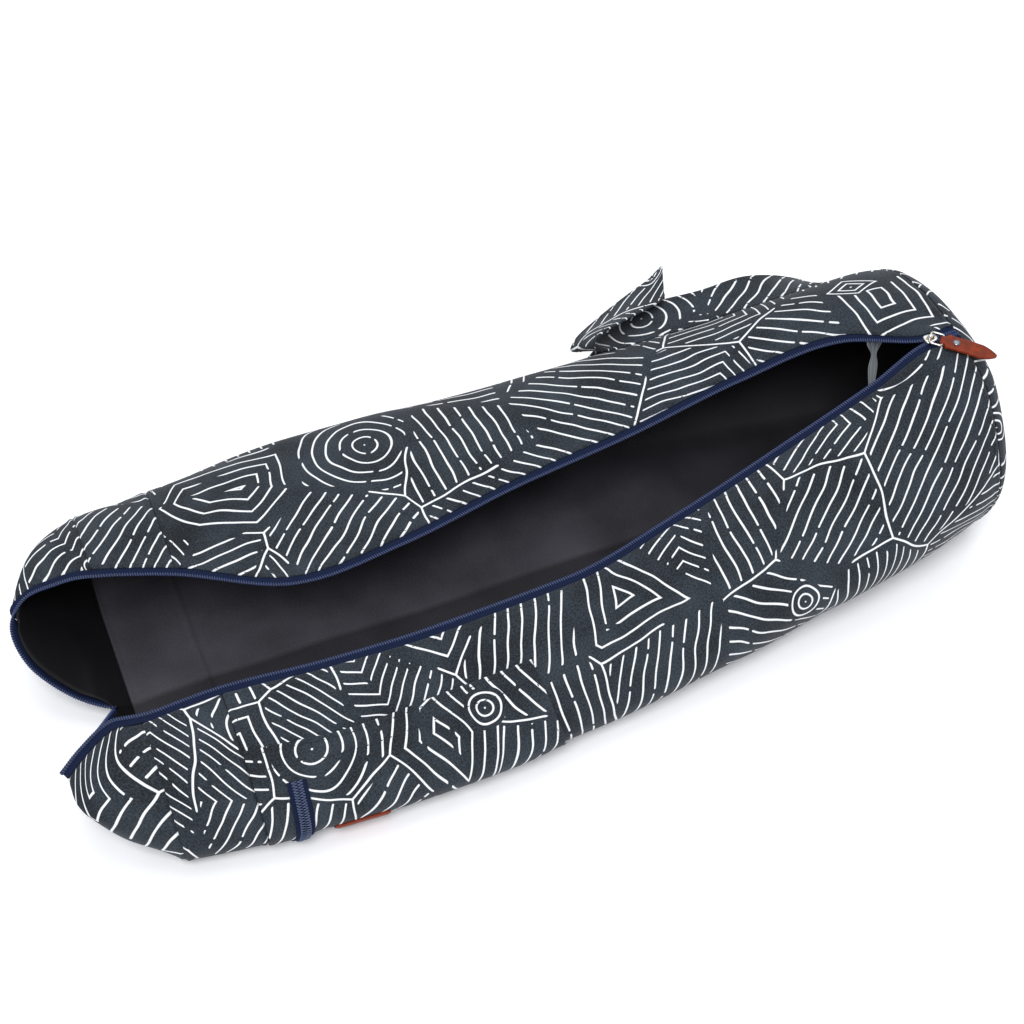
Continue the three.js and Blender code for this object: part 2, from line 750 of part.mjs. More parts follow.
// Rounded ring through the slider's bridge, and the leather pull folded round its far side
const pull = new THREE.Group();
const ringRise = coilHeight + plateGap + PLATE_THICK + BRIDGE_EYE[1] / 2;
pull.position.copy(sliderTop).add(new THREE.Vector3(-0.6, 0, ringRise));
pull.rotation.set(0, radians(TAB_DROP_DEG), radians(TAB_TURN_DEG), "ZYX");
bag.add(pull);
function ringRope() {
  const up = new THREE.Vector3(0, 0, 1);
  const half = RING_WIDTH / 2;
  const inset = RING_CORNER;
  const corners = [
    [RING_LENGTH - inset, half - inset],
    [inset, half - inset],
    [inset, inset - half],
    [RING_LENGTH - inset, inset - half],
  ];
  const path = corners.flatMap(([x, y], quarter) =>
    [0, 1, 2, 3].map((k) => {
      const turn = (Math.PI / 2) * (quarter + k / 3);
      return new THREE.Vector3(x + inset * Math.cos(turn), y + inset * Math.sin(turn), 0);
    }),
  );
  const rows = path.map((centre, i) => {
    const along = path[(i + 1) % path.length].clone().sub(path.at(i - 1)).normalize();
    return { centre, side: up.clone().cross(along), up };
  });
  return rope(rows, RING_WIRE, 6, true);
}
add("pull_ring", ringRope(), "metal", pull);

function tabSolid() {
  const half = TAB_WIDTH / 2;
  const outline = new THREE.Shape();
  const neck = RING_WIDTH / 2 - RING_CORNER + 0.5;
  outline.moveTo(-TAB_FOLD, -neck);
  outline.lineTo(TAB_FOLD * 0.7, -neck);
  outline.lineTo(TAB_FOLD, -half);
  outline.lineTo(TAB_LENGTH * 0.66, -half);
  outline.quadraticCurveTo(TAB_LENGTH * 0.86, -half * 0.9, TAB_LENGTH, 0);
  outline.quadraticCurveTo(TAB_LENGTH * 0.86, half * 0.9, TAB_LENGTH * 0.66, half);
  outline.lineTo(TAB_FOLD, half);
  outline.lineTo(TAB_FOLD * 0.7, neck);
  outline.lineTo(-TAB_FOLD, neck);
  outline.closePath();
  const flat = { depth: TAB_THICK, bevelEnabled: false, curveSegments: 6 };
  const leather = new THREE.ExtrudeGeometry(outline, flat).translate(0, 0, -TAB_THICK / 2);
  const tunnelRadius = RING_WIRE + 0.35;
  const tunnel = new THREE.CylinderGeometry(tunnelRadius, tunnelRadius, TAB_WIDTH * 2, 10);
  const holeRadius = RIVET_RADIUS * RIVET_NECK + 0.3;
  const rivetHole = new THREE.CylinderGeometry(holeRadius, holeRadius, TAB_THICK * 2, 16);
  rivetHole.rotateX(Math.PI / 2).translate(TAB_LENGTH * RIVET_AT, 0, 0);
  return geometryFrom(solidOf(leather).subtract(solidOf(tunnel)).subtract(solidOf(rivetHole)));
}
const tabSeat = new THREE.Group();
tabSeat.position.set(RING_LENGTH, 0, 0);
pull.add(tabSeat);
add("pull_tab", tabSolid(), "leather", tabSeat);

function rivetSolid() {
  const reach = TAB_THICK / 2 + 0.3;
  const profile = [
    [0, -reach - RIVET_RISE * 0.6],
    [RIVET_RADIUS, -reach - RIVET_RISE * 0.6],
    [RIVET_RADIUS, -reach],
    [RIVET_RADIUS * RIVET_NECK, -reach],
    [RIVET_RADIUS * RIVET_NECK, reach],
    [RIVET_RADIUS, reach],
    [RIVET_RADIUS * 0.86, reach + RIVET_RISE * 0.6],
    [RIVET_RADIUS * 0.5, reach + RIVET_RISE],
    [0, reach + RIVET_RISE],
  ].map(([x, y]) => new THREE.Vector2(x, y));
  return new THREE.LatheGeometry(profile, 16).rotateX(Math.PI / 2);
}
const rivetSeat = new THREE.Group();
rivetSeat.position.set(TAB_LENGTH * RIVET_AT, 0, 0);
tabSeat.add(rivetSeat);
add("pull_rivet", rivetSolid(), "rivet", rivetSeat);

// Grey tag that hangs inside from the far edge of the mouth
function tagSolid() {
  const edge = roundFromEdge(TAG_AT, TAPE_REACH + TAG_INSET, true);
  const depth = liningFace - LINING - TAG_DROP;
  const top = bodyPoint(TAG_AT, edge).addScaledVector(bodyNormal(TAG_AT, edge), depth);
  const rows = [0, 0.07, 0.16, 0.3, 0.5, 0.75, 1].map((share) => {
    const gather = Math.max(1 - share / 0.28, 0);
    const half = (TAG_WIDTH + (TAG_TOP_WIDTH - TAG_WIDTH) * gather * gather) / 2;
    const sway = new THREE.Vector3(TAG_SWAY[0] * share, TAG_SWAY[1] * share * share, -TAG_LENGTH * share);
    const middle = top.clone().add(sway);
    return [-half, 0, half].map((x) => middle.clone().add(new THREE.Vector3(x, 0, 0)));
  });
  const normals = rows.map((row) => row.map(() => new THREE.Vector3(0, -1, 0)));
  return sheetWall(rows.reverse(), normals, TAG_THICK, 0);
}
add("inner_tag", tagSolid(), "tag");

// The origin is under the middle of the whole bag, on the surface that it lies on.
bag.updateMatrixWorld(true);
const box = new THREE.Box3().setFromObject(bag, true);
bag.position.set(-(box.min.x + box.max.x) / 2, -(box.min.y + box.max.y) / 2, -box.min.z);

export default bag;
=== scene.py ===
"""A roll-up mat bag of printed canvas that lies on its back with its long zip open, dressed around its CAD
frame.

Metres, +Z up. X runs from the open end to the zip slider, Y from the near wall to the far wall. Pieces are
surfaces worked out with numpy from the same section and edge tables as the CAD solids."""

import math

import bmesh
import bpy
import numpy as np
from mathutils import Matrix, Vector


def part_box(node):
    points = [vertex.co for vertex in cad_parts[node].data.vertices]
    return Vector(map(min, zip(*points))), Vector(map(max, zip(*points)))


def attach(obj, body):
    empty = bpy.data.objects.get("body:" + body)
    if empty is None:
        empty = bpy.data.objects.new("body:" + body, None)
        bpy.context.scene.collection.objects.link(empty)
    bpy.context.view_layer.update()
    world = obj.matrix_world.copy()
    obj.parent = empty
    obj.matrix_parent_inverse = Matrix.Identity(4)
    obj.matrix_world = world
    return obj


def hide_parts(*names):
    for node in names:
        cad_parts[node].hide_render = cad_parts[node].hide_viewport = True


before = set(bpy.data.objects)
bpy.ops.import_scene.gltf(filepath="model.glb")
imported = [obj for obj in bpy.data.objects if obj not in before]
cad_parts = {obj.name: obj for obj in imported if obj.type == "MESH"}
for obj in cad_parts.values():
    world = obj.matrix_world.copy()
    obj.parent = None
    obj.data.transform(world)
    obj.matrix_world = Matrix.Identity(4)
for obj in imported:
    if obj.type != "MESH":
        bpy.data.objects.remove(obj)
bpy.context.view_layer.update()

bl_info = {
    "name": "Open mat bag",
    "version": (1, 0, 0),
    "blender": (4, 5, 0),
    "location": "View3D > Sidebar > Mat bag",
    "description": "Cloth, zips, strap and leather of an open roll-up mat bag around its CAD frame",
    "category": "Object",
}

# Sizes that the CAD solids have too
BODY_LENGTH = 0.690  # between the seams of the two end pieces
BODY_DIAMETER = 0.203  # of the filled bag, the unit of the section tables
CANVAS = 0.0015
LINING = 0.001
LAYER_GAP = 0.0004
END_BULGE = 0.020
BAND_SEAM = 0.088  # share of the length
TAPE_REACH = 0.006  # from the coil's middle to the canvas edge
TAPE_THICK = 0.0007
TAPE_DEPTH = 0.001
COIL_RADIUS = 0.0014
COIL_CLEAR = 0.00045
COIL_HEIGHT = -TAPE_DEPTH - TAPE_THICK / 2
SLIDER_AT = 0.965
PLATE_GAP = COIL_RADIUS + COIL_CLEAR + 0.0006
PLATE_THICK = 0.0011
EYE_HEIGHT = 0.0027
RING_WIRE = 0.0008
RING_WIDTH = 0.012
RING_CORNER = 0.0024
RING_LENGTH = 0.0104
TAB_LENGTH = 0.043
TAB_WIDTH = 0.0135
TAB_THICK = 0.0032
TAB_FOLD = 0.0024
TAB_DROP = math.radians(5)
TAB_TURN = math.radians(-40)
RIVET_RADIUS = 0.0029
POCKET = 0.0012
POCKET_LENGTH = 0.224
POCKET_SLANT = 0.014
POCKET_ROUNDS = (1.0, 2.75)  # from the shoulder mark to below the side mark
SIDE_ZIP_WIDTH = 0.013
SIDE_ZIP_AT = 0.026
SIDE_ZIP_TOP = 1.4  # as a mark count
SIDE_ZIP_LEAN = 0.007  # its top is this much further from the band's seam than its foot
SIDE_COIL_RADIUS = 0.0009
PATCH_WIDTH = 0.042
PATCH_THICK = 0.0016
PATCH_AT = 0.070
PATCH_ROUNDS = (2.25, 2.75)
STRAP_THICK = 0.0022
TAG_AT = 0.92
TAG_LENGTH = 0.062
TAG_WIDTH = 0.007
TAG_TOP_WIDTH = 0.015
TAG_INSET = 0.003  # from the canvas edge to its top
TAG_DROP = 0.002

# Sizes of the finish alone
SOLE = 0.00005  # least height of cloth above the floor
SEAM_HALF_GAP = 0.00025
LINING_SEAM = 0.026  # of the lining's lengthwise seam, round from the bottom middle
HEM_ROWS = (0.0035, 0.0160)  # of the two rows of stitches, from the pocket's hem
STITCH_LIFT = 0.00035
ZIP_STITCH = 0.0032  # from the canvas edge beside the zip
BAND_STITCH = 0.0045  # from the band's seam
EDGE_STITCH = 0.004  # from the closed end's seam and the strap's edges
COIL_STEPS = 9  # in one turn of the filament
SIDE_COIL_PITCH = 0.0021
SIDE_COIL_APART = 0.0020  # of each row of teeth from the middle
PLATE_LENGTH = 0.011
PLATE_WIDTH = 0.0086
RIVET_AT = 0.24  # share of the leather's length
TIP_FROM = 0.70  # share of the leather's length from which it narrows
DASH_LENGTHS = (0.038, 0.118)  # shortest and longest, with the gap
PATCH_MARGIN = 0.0040  # bare cloth inside a patch's border
MOTIF_RINGS = (0.0125, 0.0065)
MOTIF_MARGIN = 0.0165
FLOOR_REACH = 14.0
CAMERA_TURN = math.radians(22)
CAMERA_TILT = math.radians(52)
CAMERA_AIM = (0.333, 0.045, 0.040)  # from the part's own zero
CAMERA_DISTANCE = 1.614
CAMERA_LENS = 70

# Sections of the open bag: station as a share of the length, then (y, z) as shares of the diameter at nine
# marks from the near edge of the mouth, round under the bag, to its far edge.
STATIONS = np.array([0, 0.0855, 0.204, 0.335, 0.48, 0.625, 0.77, 0.8855, 0.965, 1])
MARKS = np.array(
    [
        [
            -0.276, 0.384, -0.493, 0.335, -0.725, 0.138, -0.66, 0, 0.532, 0, 0.768, 0.177, 0.739, 0.335,
            0.581, 0.414, 0.374, 0.424,
        ],
        [
            -0.266, 0.389, -0.532, 0.345, -0.778, 0.138, -0.695, 0, 0.581, 0, 0.808, 0.187, 0.76, 0.33, 0.56,
            0.412, 0.276, 0.404,
        ],
        [
            -0.305, 0.399, -0.571, 0.33, -0.805, 0.138, -0.715, 0, 0.601, 0, 0.847, 0.187, 0.8, 0.34, 0.522,
            0.418, 0.079, 0.389,
        ],
        [
            -0.325, 0.414, -0.552, 0.325, -0.815, 0.138, -0.72, 0, 0.591, 0, 0.837, 0.197, 0.793, 0.35, 0.512,
            0.428, 0.089, 0.404,
        ],
        [
            -0.325, 0.448, -0.552, 0.374, -0.785, 0.148, -0.68, 0, 0.552, 0, 0.788, 0.207, 0.74, 0.37, 0.512,
            0.468, 0.163, 0.434,
        ],
        [
            -0.246, 0.507, -0.502, 0.433, -0.73, 0.187, -0.61, 0, 0.493, 0, 0.729, 0.236, 0.68, 0.433, 0.483,
            0.527, 0.187, 0.498,
        ],
        [
            -0.158, 0.611, -0.424, 0.532, -0.675, 0.246, -0.53, 0, 0.433, 0, 0.67, 0.276, 0.611, 0.512, 0.424,
            0.611, 0.217, 0.586,
        ],
        [
            -0.099, 0.724, -0.365, 0.631, -0.62, 0.315, -0.45, 0, 0.374, 0, 0.611, 0.325, 0.555, 0.597, 0.36,
            0.715, 0.163, 0.704,
        ],
        [
            -0.0486, 0.803, -0.325, 0.709, -0.56, 0.355, -0.385, 0, 0.335, 0, 0.575, 0.37, 0.515, 0.65, 0.27,
            0.77, -0.0302, 0.803,
        ],
        [
            -0.0486, 0.803, -0.305, 0.724, -0.52, 0.37, -0.355, 0, 0.305, 0, 0.55, 0.38, 0.495, 0.64, 0.25,
            0.772, -0.0302, 0.803,
        ],
    ]
).reshape(10, 9, 2)
LAST_MARK = 8
BOTTOM_MARK = 3.5
ROW_APART = 100.0

# Shares of the diameter, (x, y, z) from the open end's seam, along the zip to its bottom stop
ZIP_STOP = [-0.065, 0, 0.075]
NEAR_SLIT = [
    [-0.1, -0.25, 0.37], [-0.235, -0.295, 0.325], [-0.315, -0.335, 0.285], [-0.26, -0.255, 0.235],
    [-0.165, -0.14, 0.16], ZIP_STOP,
]
FAR_SLIT = [
    [-0.13, 0.405, 0.385], [-0.26, 0.425, 0.33], [-0.335, 0.335, 0.305], [-0.318, 0.205, 0.235],
    [-0.2, 0.08, 0.13], ZIP_STOP,
]
FLAP_SWELL = {False: [-0.11, -0.03, -0.045], True: [-0.035, 0.06, 0.01]}
NEAR_COLUMNS = (np.array([4, 9, 13, 15]) / 15, np.array([1, 2, 3, 3.5]))
FAR_COLUMNS = (np.array([3, 6, 9, 13, 15]) / 15, np.array([7, 6, 5, 4, 3.5]))
END_PROFILE = (
    np.array([0, 0.3, 0.5, 0.75, 1]), np.array([[1, 0], [0.965, 0.26], [0.87, 0.56], [0.62, 0.87], [0, 1]])
)

# The rivet from foot to crown: radius as a share of its own, side of the leather, height past its face
RIVET_PROFILE = np.array(
    [
        [0, -1, 0.0006], [0.9, -1, 0.0006], [1, -1, 0.0003], [1, -1, 0], [0.62, -1, 0], [0.62, 1, 0],
        [1, 1, 0], [1, 1, 0.0003], [0.9, 1, 0.0006], [0.6, 1, 0.0009], [0.25, 1, 0.001], [0, 1, 0.001],
    ]
)

# The strap's two long edges: x as a share of the length, y and z as shares of the diameter
STRAP_LOW = np.array(
    [
        [0.955, 0.564, 0.58], [
            0.925, 0.582, 0.598
        ], [0.853, 0.557, 0.592], [0.796, 0.591, 0.541], [0.737, 0.627, 0.507],
        [0.7, 0.63, 0.5], [
            0.675, 0.632, 0.497
        ], [0.655, 0.642, 0.492], [0.642, 0.662, 0.517], [0.649, 0.677, 0.556],
        [
            0.675, 0.689, 0.579
        ], [0.707, 0.714, 0.579], [0.736, 0.755, 0.551], [0.749, 0.79, 0.527], [0.755, 0.819, 0.477],
        [0.749, 0.85, 0.39], [0.732, 0.865, 0.27], [0.697, 0.84, 0.138], [
            0.639, 0.818, 0.025
        ], [0.567, 0.818, 0.02],
        [
            0.451, 0.867, 0.015
        ], [0.291, 0.901, 0.01], [0.161, 0.892, 0.01], [0.088, 0.848, 0.015], [0.028, 0.784, 0.02],
    ]
)
STRAP_HIGH = np.array(
    [
        [
            0.955, 0.599, 0.395
        ], [0.925, 0.7, 0.47], [0.853, 0.748, 0.549], [0.796, 0.784, 0.505], [0.737, 0.82, 0.475],
        [0.705, 0.82, 0.452], [
            0.684, 0.814, 0.424
        ], [0.639, 0.775, 0.369], [0.625, 0.78, 0.384], [0.633, 0.8, 0.424],
        [
            0.668, 0.839, 0.469
        ], [0.71, 0.883, 0.502], [0.752, 0.942, 0.502], [0.771, 0.967, 0.517], [0.771, 0.992, 0.472],
        [0.757, 1.01, 0.385], [0.741, 0.995, 0.24], [0.7, 0.94, 0.246], [
            0.642, 0.837, 0.207
        ], [0.567, 0.828, 0.217],
        [
            0.451, 0.872, 0.200
        ], [0.291, 0.901, 0.185], [0.161, 0.892, 0.185], [0.088, 0.848, 0.195], [0.028, 0.804, 0.2],
    ]
)


# ---------------------------------------------------------------- curves and the body's skin


def unit(v):
    return v / np.maximum(np.linalg.norm(v, axis=-1, keepdims=True), 1e-12)


def bell(x, middle, width):
    """exp(-((x - middle) / width)^2): one soft hump of height 1."""
    return np.exp(-(((x - middle) / width) ** 2))


def walk(path):
    """Distance walked along a path (n, 3) to each of its points."""
    return np.concatenate([[0], np.cumsum(np.linalg.norm(np.diff(path, axis=0), axis=1))])


def resampled(values, walked, places):
    """Rows of values (n, 3) at places along the distance walked."""
    return np.stack([np.interp(places, walked, values[:, k]) for k in range(3)], axis=1)


def squared(value, power):
    """sign(value) |value|^power: draws a circle's sine or cosine out to a rounded square."""
    return np.sign(value) * np.abs(value) ** power


def capped(rings, tips):
    """Rings (n, m, 3) with one more ring at each end, drawn together to the first and last of the tips."""
    ends = [np.broadcast_to(tips[k], rings[:1].shape) for k in (0, -1)]
    return np.concatenate([ends[0], rings, ends[1]])


def column(value, at):
    """A number as a column (n, 1) beside at (n,); a grid stays as it is."""
    return np.full((len(at), 1), float(value)) if np.ndim(value) == 0 else value


def through(xs, ys, x):
    """Cubic Hermite curve through (xs, ys); the slope at a point is the mean of the rates beside it, and zero
    where either of them is zero."""
    tail = (1,) * (ys.ndim - 1)
    rates = np.diff(ys, axis=0) / np.diff(xs).reshape((-1,) + tail)
    inner = np.where(rates[:-1] * rates[1:] == 0, 0, (rates[:-1] + rates[1:]) / 2)
    slopes = np.concatenate([rates[:1], inner, rates[-1:]])
    k = np.clip(np.searchsorted(xs, x) - 1, 0, len(xs) - 2)
    step = (xs[k + 1] - xs[k]).reshape(x.shape + tail)
    t = (x - xs[k]).reshape(x.shape + tail) / step
    rise = ys[k + 1] - ys[k]
    return ys[k] + t * rise + t * (1 - t) * (
        (1 - t) * (slopes[k] * step - rise) - t * (slopes[k + 1] * step - rise)
    )


def smooth_curve(points, t):
    """Centripetal Catmull-Rom curve: points (..., n, 3), t (..., m) counts points. Each span is the cubic
    whose end tangents weigh the neighbouring chords by the square roots of their lengths."""
    first = 2 * points[..., :1, :] - points[..., 1:2, :]
    last = 2 * points[..., -1:, :] - points[..., -2:-1, :]
    padded = np.concatenate([first, points, last], axis=-2)
    k = np.clip(np.floor(t).astype(int), 0, points.shape[-2] - 2)
    w = (t - k)[..., None]
    p0, p1, p2, p3 = [np.take_along_axis(padded, (k + i)[..., None], axis=-2) for i in range(4)]
    g0, g1, g2 = [
        np.sqrt(np.linalg.norm(b - a, axis=-1, keepdims=True)) for a, b in ((p0, p1), (p1, p2), (p2, p3))
    ]
    g1 = np.where(g1 < 1e-6, 1, g1)
    g0 = np.where(g0 < 1e-6, g1, g0)
    g2 = np.where(g2 < 1e-6, g1, g2)
    m1 = ((p1 - p0) / g0 - (p2 - p0) / (g0 + g1) + (p2 - p1) / g1) * g1
    m2 = ((p2 - p1) / g1 - (p3 - p1) / (g1 + g2) + (p3 - p2) / g2) * g1
    return p1 + w * (m1 + w * (3 * (p2 - p1) - 2 * m1 - m2 + w * (2 * (p1 - p2) + m1 + m2)))


def bare_body(at, rounds):
    """Points of the body's face, before its place in the row: at (n,), rounds (n, m) counts marks. The nine
    marks run smoothly along the length, the section curve runs smoothly through them, and the floor cuts it
    level."""
    marks = through(STATIONS, MARKS, at) * BODY_DIAMETER
    along = np.broadcast_to((at * BODY_LENGTH)[:, None, None], (len(at), LAST_MARK + 1, 1))
    p = smooth_curve(np.concatenate([along, marks], axis=-1), rounds)
    p[..., 2] = np.maximum(p[..., 2], 0)
    return p


def find_origin():
    """The part's own zero in the row frame, from the CAD slider, whose middle is at the meeting lips."""
    low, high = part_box("zip_slider")
    lips = bare_body(np.array([SLIDER_AT]), np.array([[0.0, LAST_MARK]]))[0].mean(axis=0)
    seat = np.array(
        [(low.x + high.x) / 2, (low.y + high.y) / 2, low.z - COIL_HEIGHT + PLATE_GAP + PLATE_THICK]
    )
    return seat - lips


ORIGIN = find_origin()


def body_face(at, rounds):
    return bare_body(at, rounds) + ORIGIN


def body_normal(at, rounds):
    """Outward unit normal: the change across the section times the change along the length."""
    step = 0.004
    a = np.clip(at, step, 1 - step)
    r = np.clip(rounds, step, LAST_MARK - step)
    along = bare_body(a + step, r) - bare_body(a - step, r)
    across = bare_body(a, r + step) - bare_body(a, r - step)
    return unit(np.cross(across, along))


def arcs(at, rounds):
    """Distance round the section from the mouth's near edge to each mark count, in metres. The rows are set
    far apart, so that one interpolation serves them all."""
    rounds = column(rounds, at)
    fine = np.broadcast_to(np.linspace(0, LAST_MARK, 241), (len(at), 241))
    steps = np.linalg.norm(np.diff(bare_body(at, fine), axis=1), axis=-1)
    walked = np.concatenate([np.zeros((len(at), 1)), np.cumsum(steps, axis=1)], axis=1)
    apart = np.arange(len(at))[:, None] * ROW_APART
    found = np.interp((rounds + apart).ravel(), (fine + apart).ravel(), (walked + apart).ravel())
    return found.reshape(rounds.shape) - apart


def rounds_at(at, distance, far=False):
    """Mark count at a distance from the mouth's near or far edge: the inverse of arcs."""
    fine = np.broadcast_to(np.linspace(0, LAST_MARK, 481), (len(at), 481))
    walked = arcs(at, fine)
    distance = column(distance, at)
    target = walked[:, -1:] - distance if far else distance
    apart = np.arange(len(at))[:, None] * ROW_APART
    found = np.interp((target + apart).ravel(), (walked + apart).ravel(), (fine + apart).ravel())
    return found.reshape(target.shape) - apart


def rounds_gap(at, rounds):
    """Distance round the section from each mark count to the mouth's far edge."""
    return arcs(at, LAST_MARK) - arcs(at, rounds)


HALF_COLUMNS = 74
COLUMN_STEPS = np.linspace(0, 1, HALF_COLUMNS + 1)
COLUMN_SHARES = COLUMN_STEPS * (0.3 + 0.7 * COLUMN_STEPS)  # finest beside the zip
MEET_FROM = 0.86  # share of the zip's line from which the two flaps turn to meet


def column_rounds(at, reach=TAPE_REACH):
    """Mark counts (n, m) of the cloth's columns from one edge, a reach off the coil, under the bag to the
    other."""
    sides = []
    for far, (knots, values) in ((False, NEAR_COLUMNS), (True, FAR_COLUMNS)):
        edge = rounds_at(at, reach, far)
        table = np.concatenate([edge.T, np.broadcast_to(values[:, None], (len(values), len(at)))])
        sides.append(through(np.concatenate([[0.0], knots]), table, COLUMN_SHARES).T)
    return np.concatenate([sides[0], sides[1][:, -2::-1]], axis=1)


# Soft dents of the skin: distance from the open end's seam, distance round from the bottom middle, turn in
# degrees, half length, half width and height, in metres.
FOLDS = np.array(
    [
        [0.100, -0.150, 70, 0.050, 0.010, -0.0016],
        [0.190, -0.215, 15, 0.070, 0.009, -0.0012],
        [0.330, -0.160, -20, 0.080, 0.016, -0.0022],
        [0.420, -0.205, 12, 0.080, 0.010, -0.0016],
        [0.500, -0.145, 25, 0.060, 0.014, -0.0024],
        [0.585, -0.190, -18, 0.060, 0.010, -0.0020],
        [0.640, -0.150, 35, 0.040, 0.009, -0.0022],
        [0.655, -0.215, -40, 0.030, 0.007, -0.0014],
        [0.120, 0.240, 20, 0.070, 0.012, -0.0018],
        [0.230, 0.215, -12, 0.080, 0.012, -0.0014],
        [0.330, 0.250, 18, 0.060, 0.010, -0.0010],
        [0.035, 0.220, 80, 0.040, 0.010, -0.0014],
    ]
)


def softness(u, v):
    """Height of the skin's soft folds: a sum of long humps, each a bell along and a bell across its turn."""
    total = np.zeros(np.broadcast(u, v).shape)
    for along_at, round_at, turn, length, width, height in FOLDS:
        c, s = math.cos(math.radians(turn)), math.sin(math.radians(turn))
        du, dv = u - along_at, v - round_at
        total = total + height * bell(du * c + dv * s, 0, length) * bell(dv * c - du * s, 0, width)
    ripple = np.sin(u * 61 + np.sin(v * 37) * 1.4) * np.sin(v * 49 + 1.3 * np.sin(u * 23))
    return total + 0.0004 * ripple


def on_body(at, rounds, lift):
    """Points lifted off the soft skin along its normal, with their flat cloth place (u, v) in metres."""
    v = arcs(at, rounds) - arcs(at, BOTTOM_MARK)
    u = np.broadcast_to((at * BODY_LENGTH)[:, None], v.shape)
    normals = body_normal(at, rounds)
    points = body_face(at, rounds) + normals * (softness(u, v) + lift)[..., None]
    points[..., 2] = np.maximum(points[..., 2], SOLE)
    return points, normals, np.stack([u, v], axis=-1)


def slit(far, share):
    """The zip's line over the open end and its direction, at shares of its length from the mouth's corner."""
    corner = bare_body(np.array([0.0]), np.array([[LAST_MARK if far else 0.0]]))[0]
    knots = np.concatenate([corner, np.array(FAR_SLIT if far else NEAR_SLIT) * BODY_DIAMETER])
    t = np.linspace(0, len(knots) - 1, 1201)
    dense = smooth_curve(knots, t)
    walked = walk(dense)
    place = np.interp(np.asarray(share) * walked[-1], walked, t)
    step = 0.002
    ahead, behind = np.minimum(place + step, t[-1]), np.maximum(place - step, 0)
    return smooth_curve(knots, place), unit(smooth_curve(knots, ahead) - smooth_curve(knots, behind))


def flap_lines(share, far):
    """Seam point, zip point, way to the canvas, swell and the seam's mark counts of the open end's rulings,
    at shares of the zip's line."""
    coil, along = slit(far, share)
    zero = np.array([0.0])
    rounds = column_rounds(zero)[0]
    half = rounds[: HALF_COLUMNS + 1] if not far else rounds[HALF_COLUMNS:][::-1]
    seam_rounds = np.interp(share, COLUMN_SHARES, half)
    seam = bare_body(zero, seam_rounds[None])[0]
    swell = np.array(FLAP_SWELL[far]) * BODY_DIAMETER * np.sin(np.pi * share)[:, None]
    way = seam - coil + 1.2 * swell
    inward = unit(way - along * np.sum(way * along, axis=1, keepdims=True))
    return seam, coil, inward, swell, seam_rounds


def flap_grid(rows, lift, free=TAPE_REACH):
    """The open end, (rows, columns): straight rulings from the seam to the canvas edge beside the zip,
    swollen by the product of two half sines, with both flaps meeting at the zip's bottom stop. free is the
    cloth's distance from the coil."""
    near, far = [flap_lines(COLUMN_SHARES, side) for side in (False, True)]
    shared = unit(near[2][-1] + far[2][-1])
    blend = np.clip((COLUMN_SHARES - MEET_FROM) / (1 - MEET_FROM), 0, 1)[:, None] ** 2
    t = np.linspace(0, 1, rows)[::-1, None, None]
    halves, flats = [], []
    for seam, coil, inward, swell, seam_rounds in (near, far):
        inward = unit(inward * (1 - blend) + shared * blend)
        edge = coil + inward * free
        edge[0] = seam[0]
        p = seam + (edge - seam) * t + swell * np.sin(np.pi * t)
        p[..., 2] = np.maximum(p[..., 2], 0)
        reach = np.linalg.norm(edge - seam, axis=1)
        zero = np.array([0.0])
        v = arcs(zero, seam_rounds[None]) - arcs(zero, BOTTOM_MARK)
        halves.append(p)
        flats.append(np.stack(np.broadcast_arrays(-t[..., 0] * reach, v), axis=-1))
    points = np.concatenate([halves[0], halves[1][:, -2::-1]], axis=1) + ORIGIN
    flat = np.concatenate([flats[0], flats[1][:, -2::-1]], axis=1)
    normals = grid_normals(points)
    normals[:, 0] = normals[:, 2]
    normals[:, -1] = normals[:, -3]
    points = points + normals * (softness(flat[..., 0], flat[..., 1]) + lift)[..., None]
    points[..., 2] = np.maximum(points[..., 2], SOLE)
    return points, normals, flat


def grid_normals(points):
    """Unit normals of a grid whose rows run along and columns run round, across times along."""
    along = np.gradient(points, axis=0)
    across = np.gradient(points, axis=1)
    return unit(np.cross(across, along))


def end_grid(rows, lift, rounds):
    """The closed end, (rows, columns): the last section and the chord across its lips, shrunk to the middle
    and moved out by a profile that leaves the seam steeply and ends level."""
    one = np.array([1.0])
    rim = body_face(one, rounds)[0]
    rim = rim + body_normal(one, rounds)[0] * lift
    chord = np.linspace(rim[-1], rim[0], 9)[1:]
    ring = np.concatenate([rim, chord])
    middle = ring.mean(axis=0)
    t = np.linspace(0, 1, rows)
    share, rise = through(END_PROFILE[0], END_PROFILE[1], t).T
    points = middle + (ring - middle) * share[:, None, None]
    points[..., 0] += ((END_BULGE + lift) * rise)[:, None]
    way = unit((ring - middle)[:, 1:])
    walked = np.cumsum(np.linalg.norm(np.diff(points, axis=0), axis=-1)[::-1], axis=0)[::-1]
    walked = np.concatenate([walked, np.zeros((1, len(ring)))])
    return points, walked[..., None] * way + (1.1, 0.4)


# ---------------------------------------------------------------- meshes


def edge_distances(points, sides):
    """Distance over the grid (n, m) from the nearest named side: start and end are rows, left and right
    columns."""
    along = np.linalg.norm(np.diff(points, axis=0), axis=-1)
    across = np.linalg.norm(np.diff(points, axis=1), axis=-1)
    zero_row, zero_column = np.zeros((1, points.shape[1])), np.zeros((points.shape[0], 1))
    ways = {
        "start": lambda: np.concatenate([zero_row, np.cumsum(along, axis=0)]),
        "end": lambda: np.concatenate([zero_row, np.cumsum(along[::-1], axis=0)])[::-1],
        "left": lambda: np.concatenate([zero_column, np.cumsum(across, axis=1)], axis=1),
        "right": lambda: np.concatenate([zero_column, np.cumsum(across[:, ::-1], axis=1)], axis=1)[:, ::-1],
    }
    return np.min([ways[side]() for side in sides], axis=0)


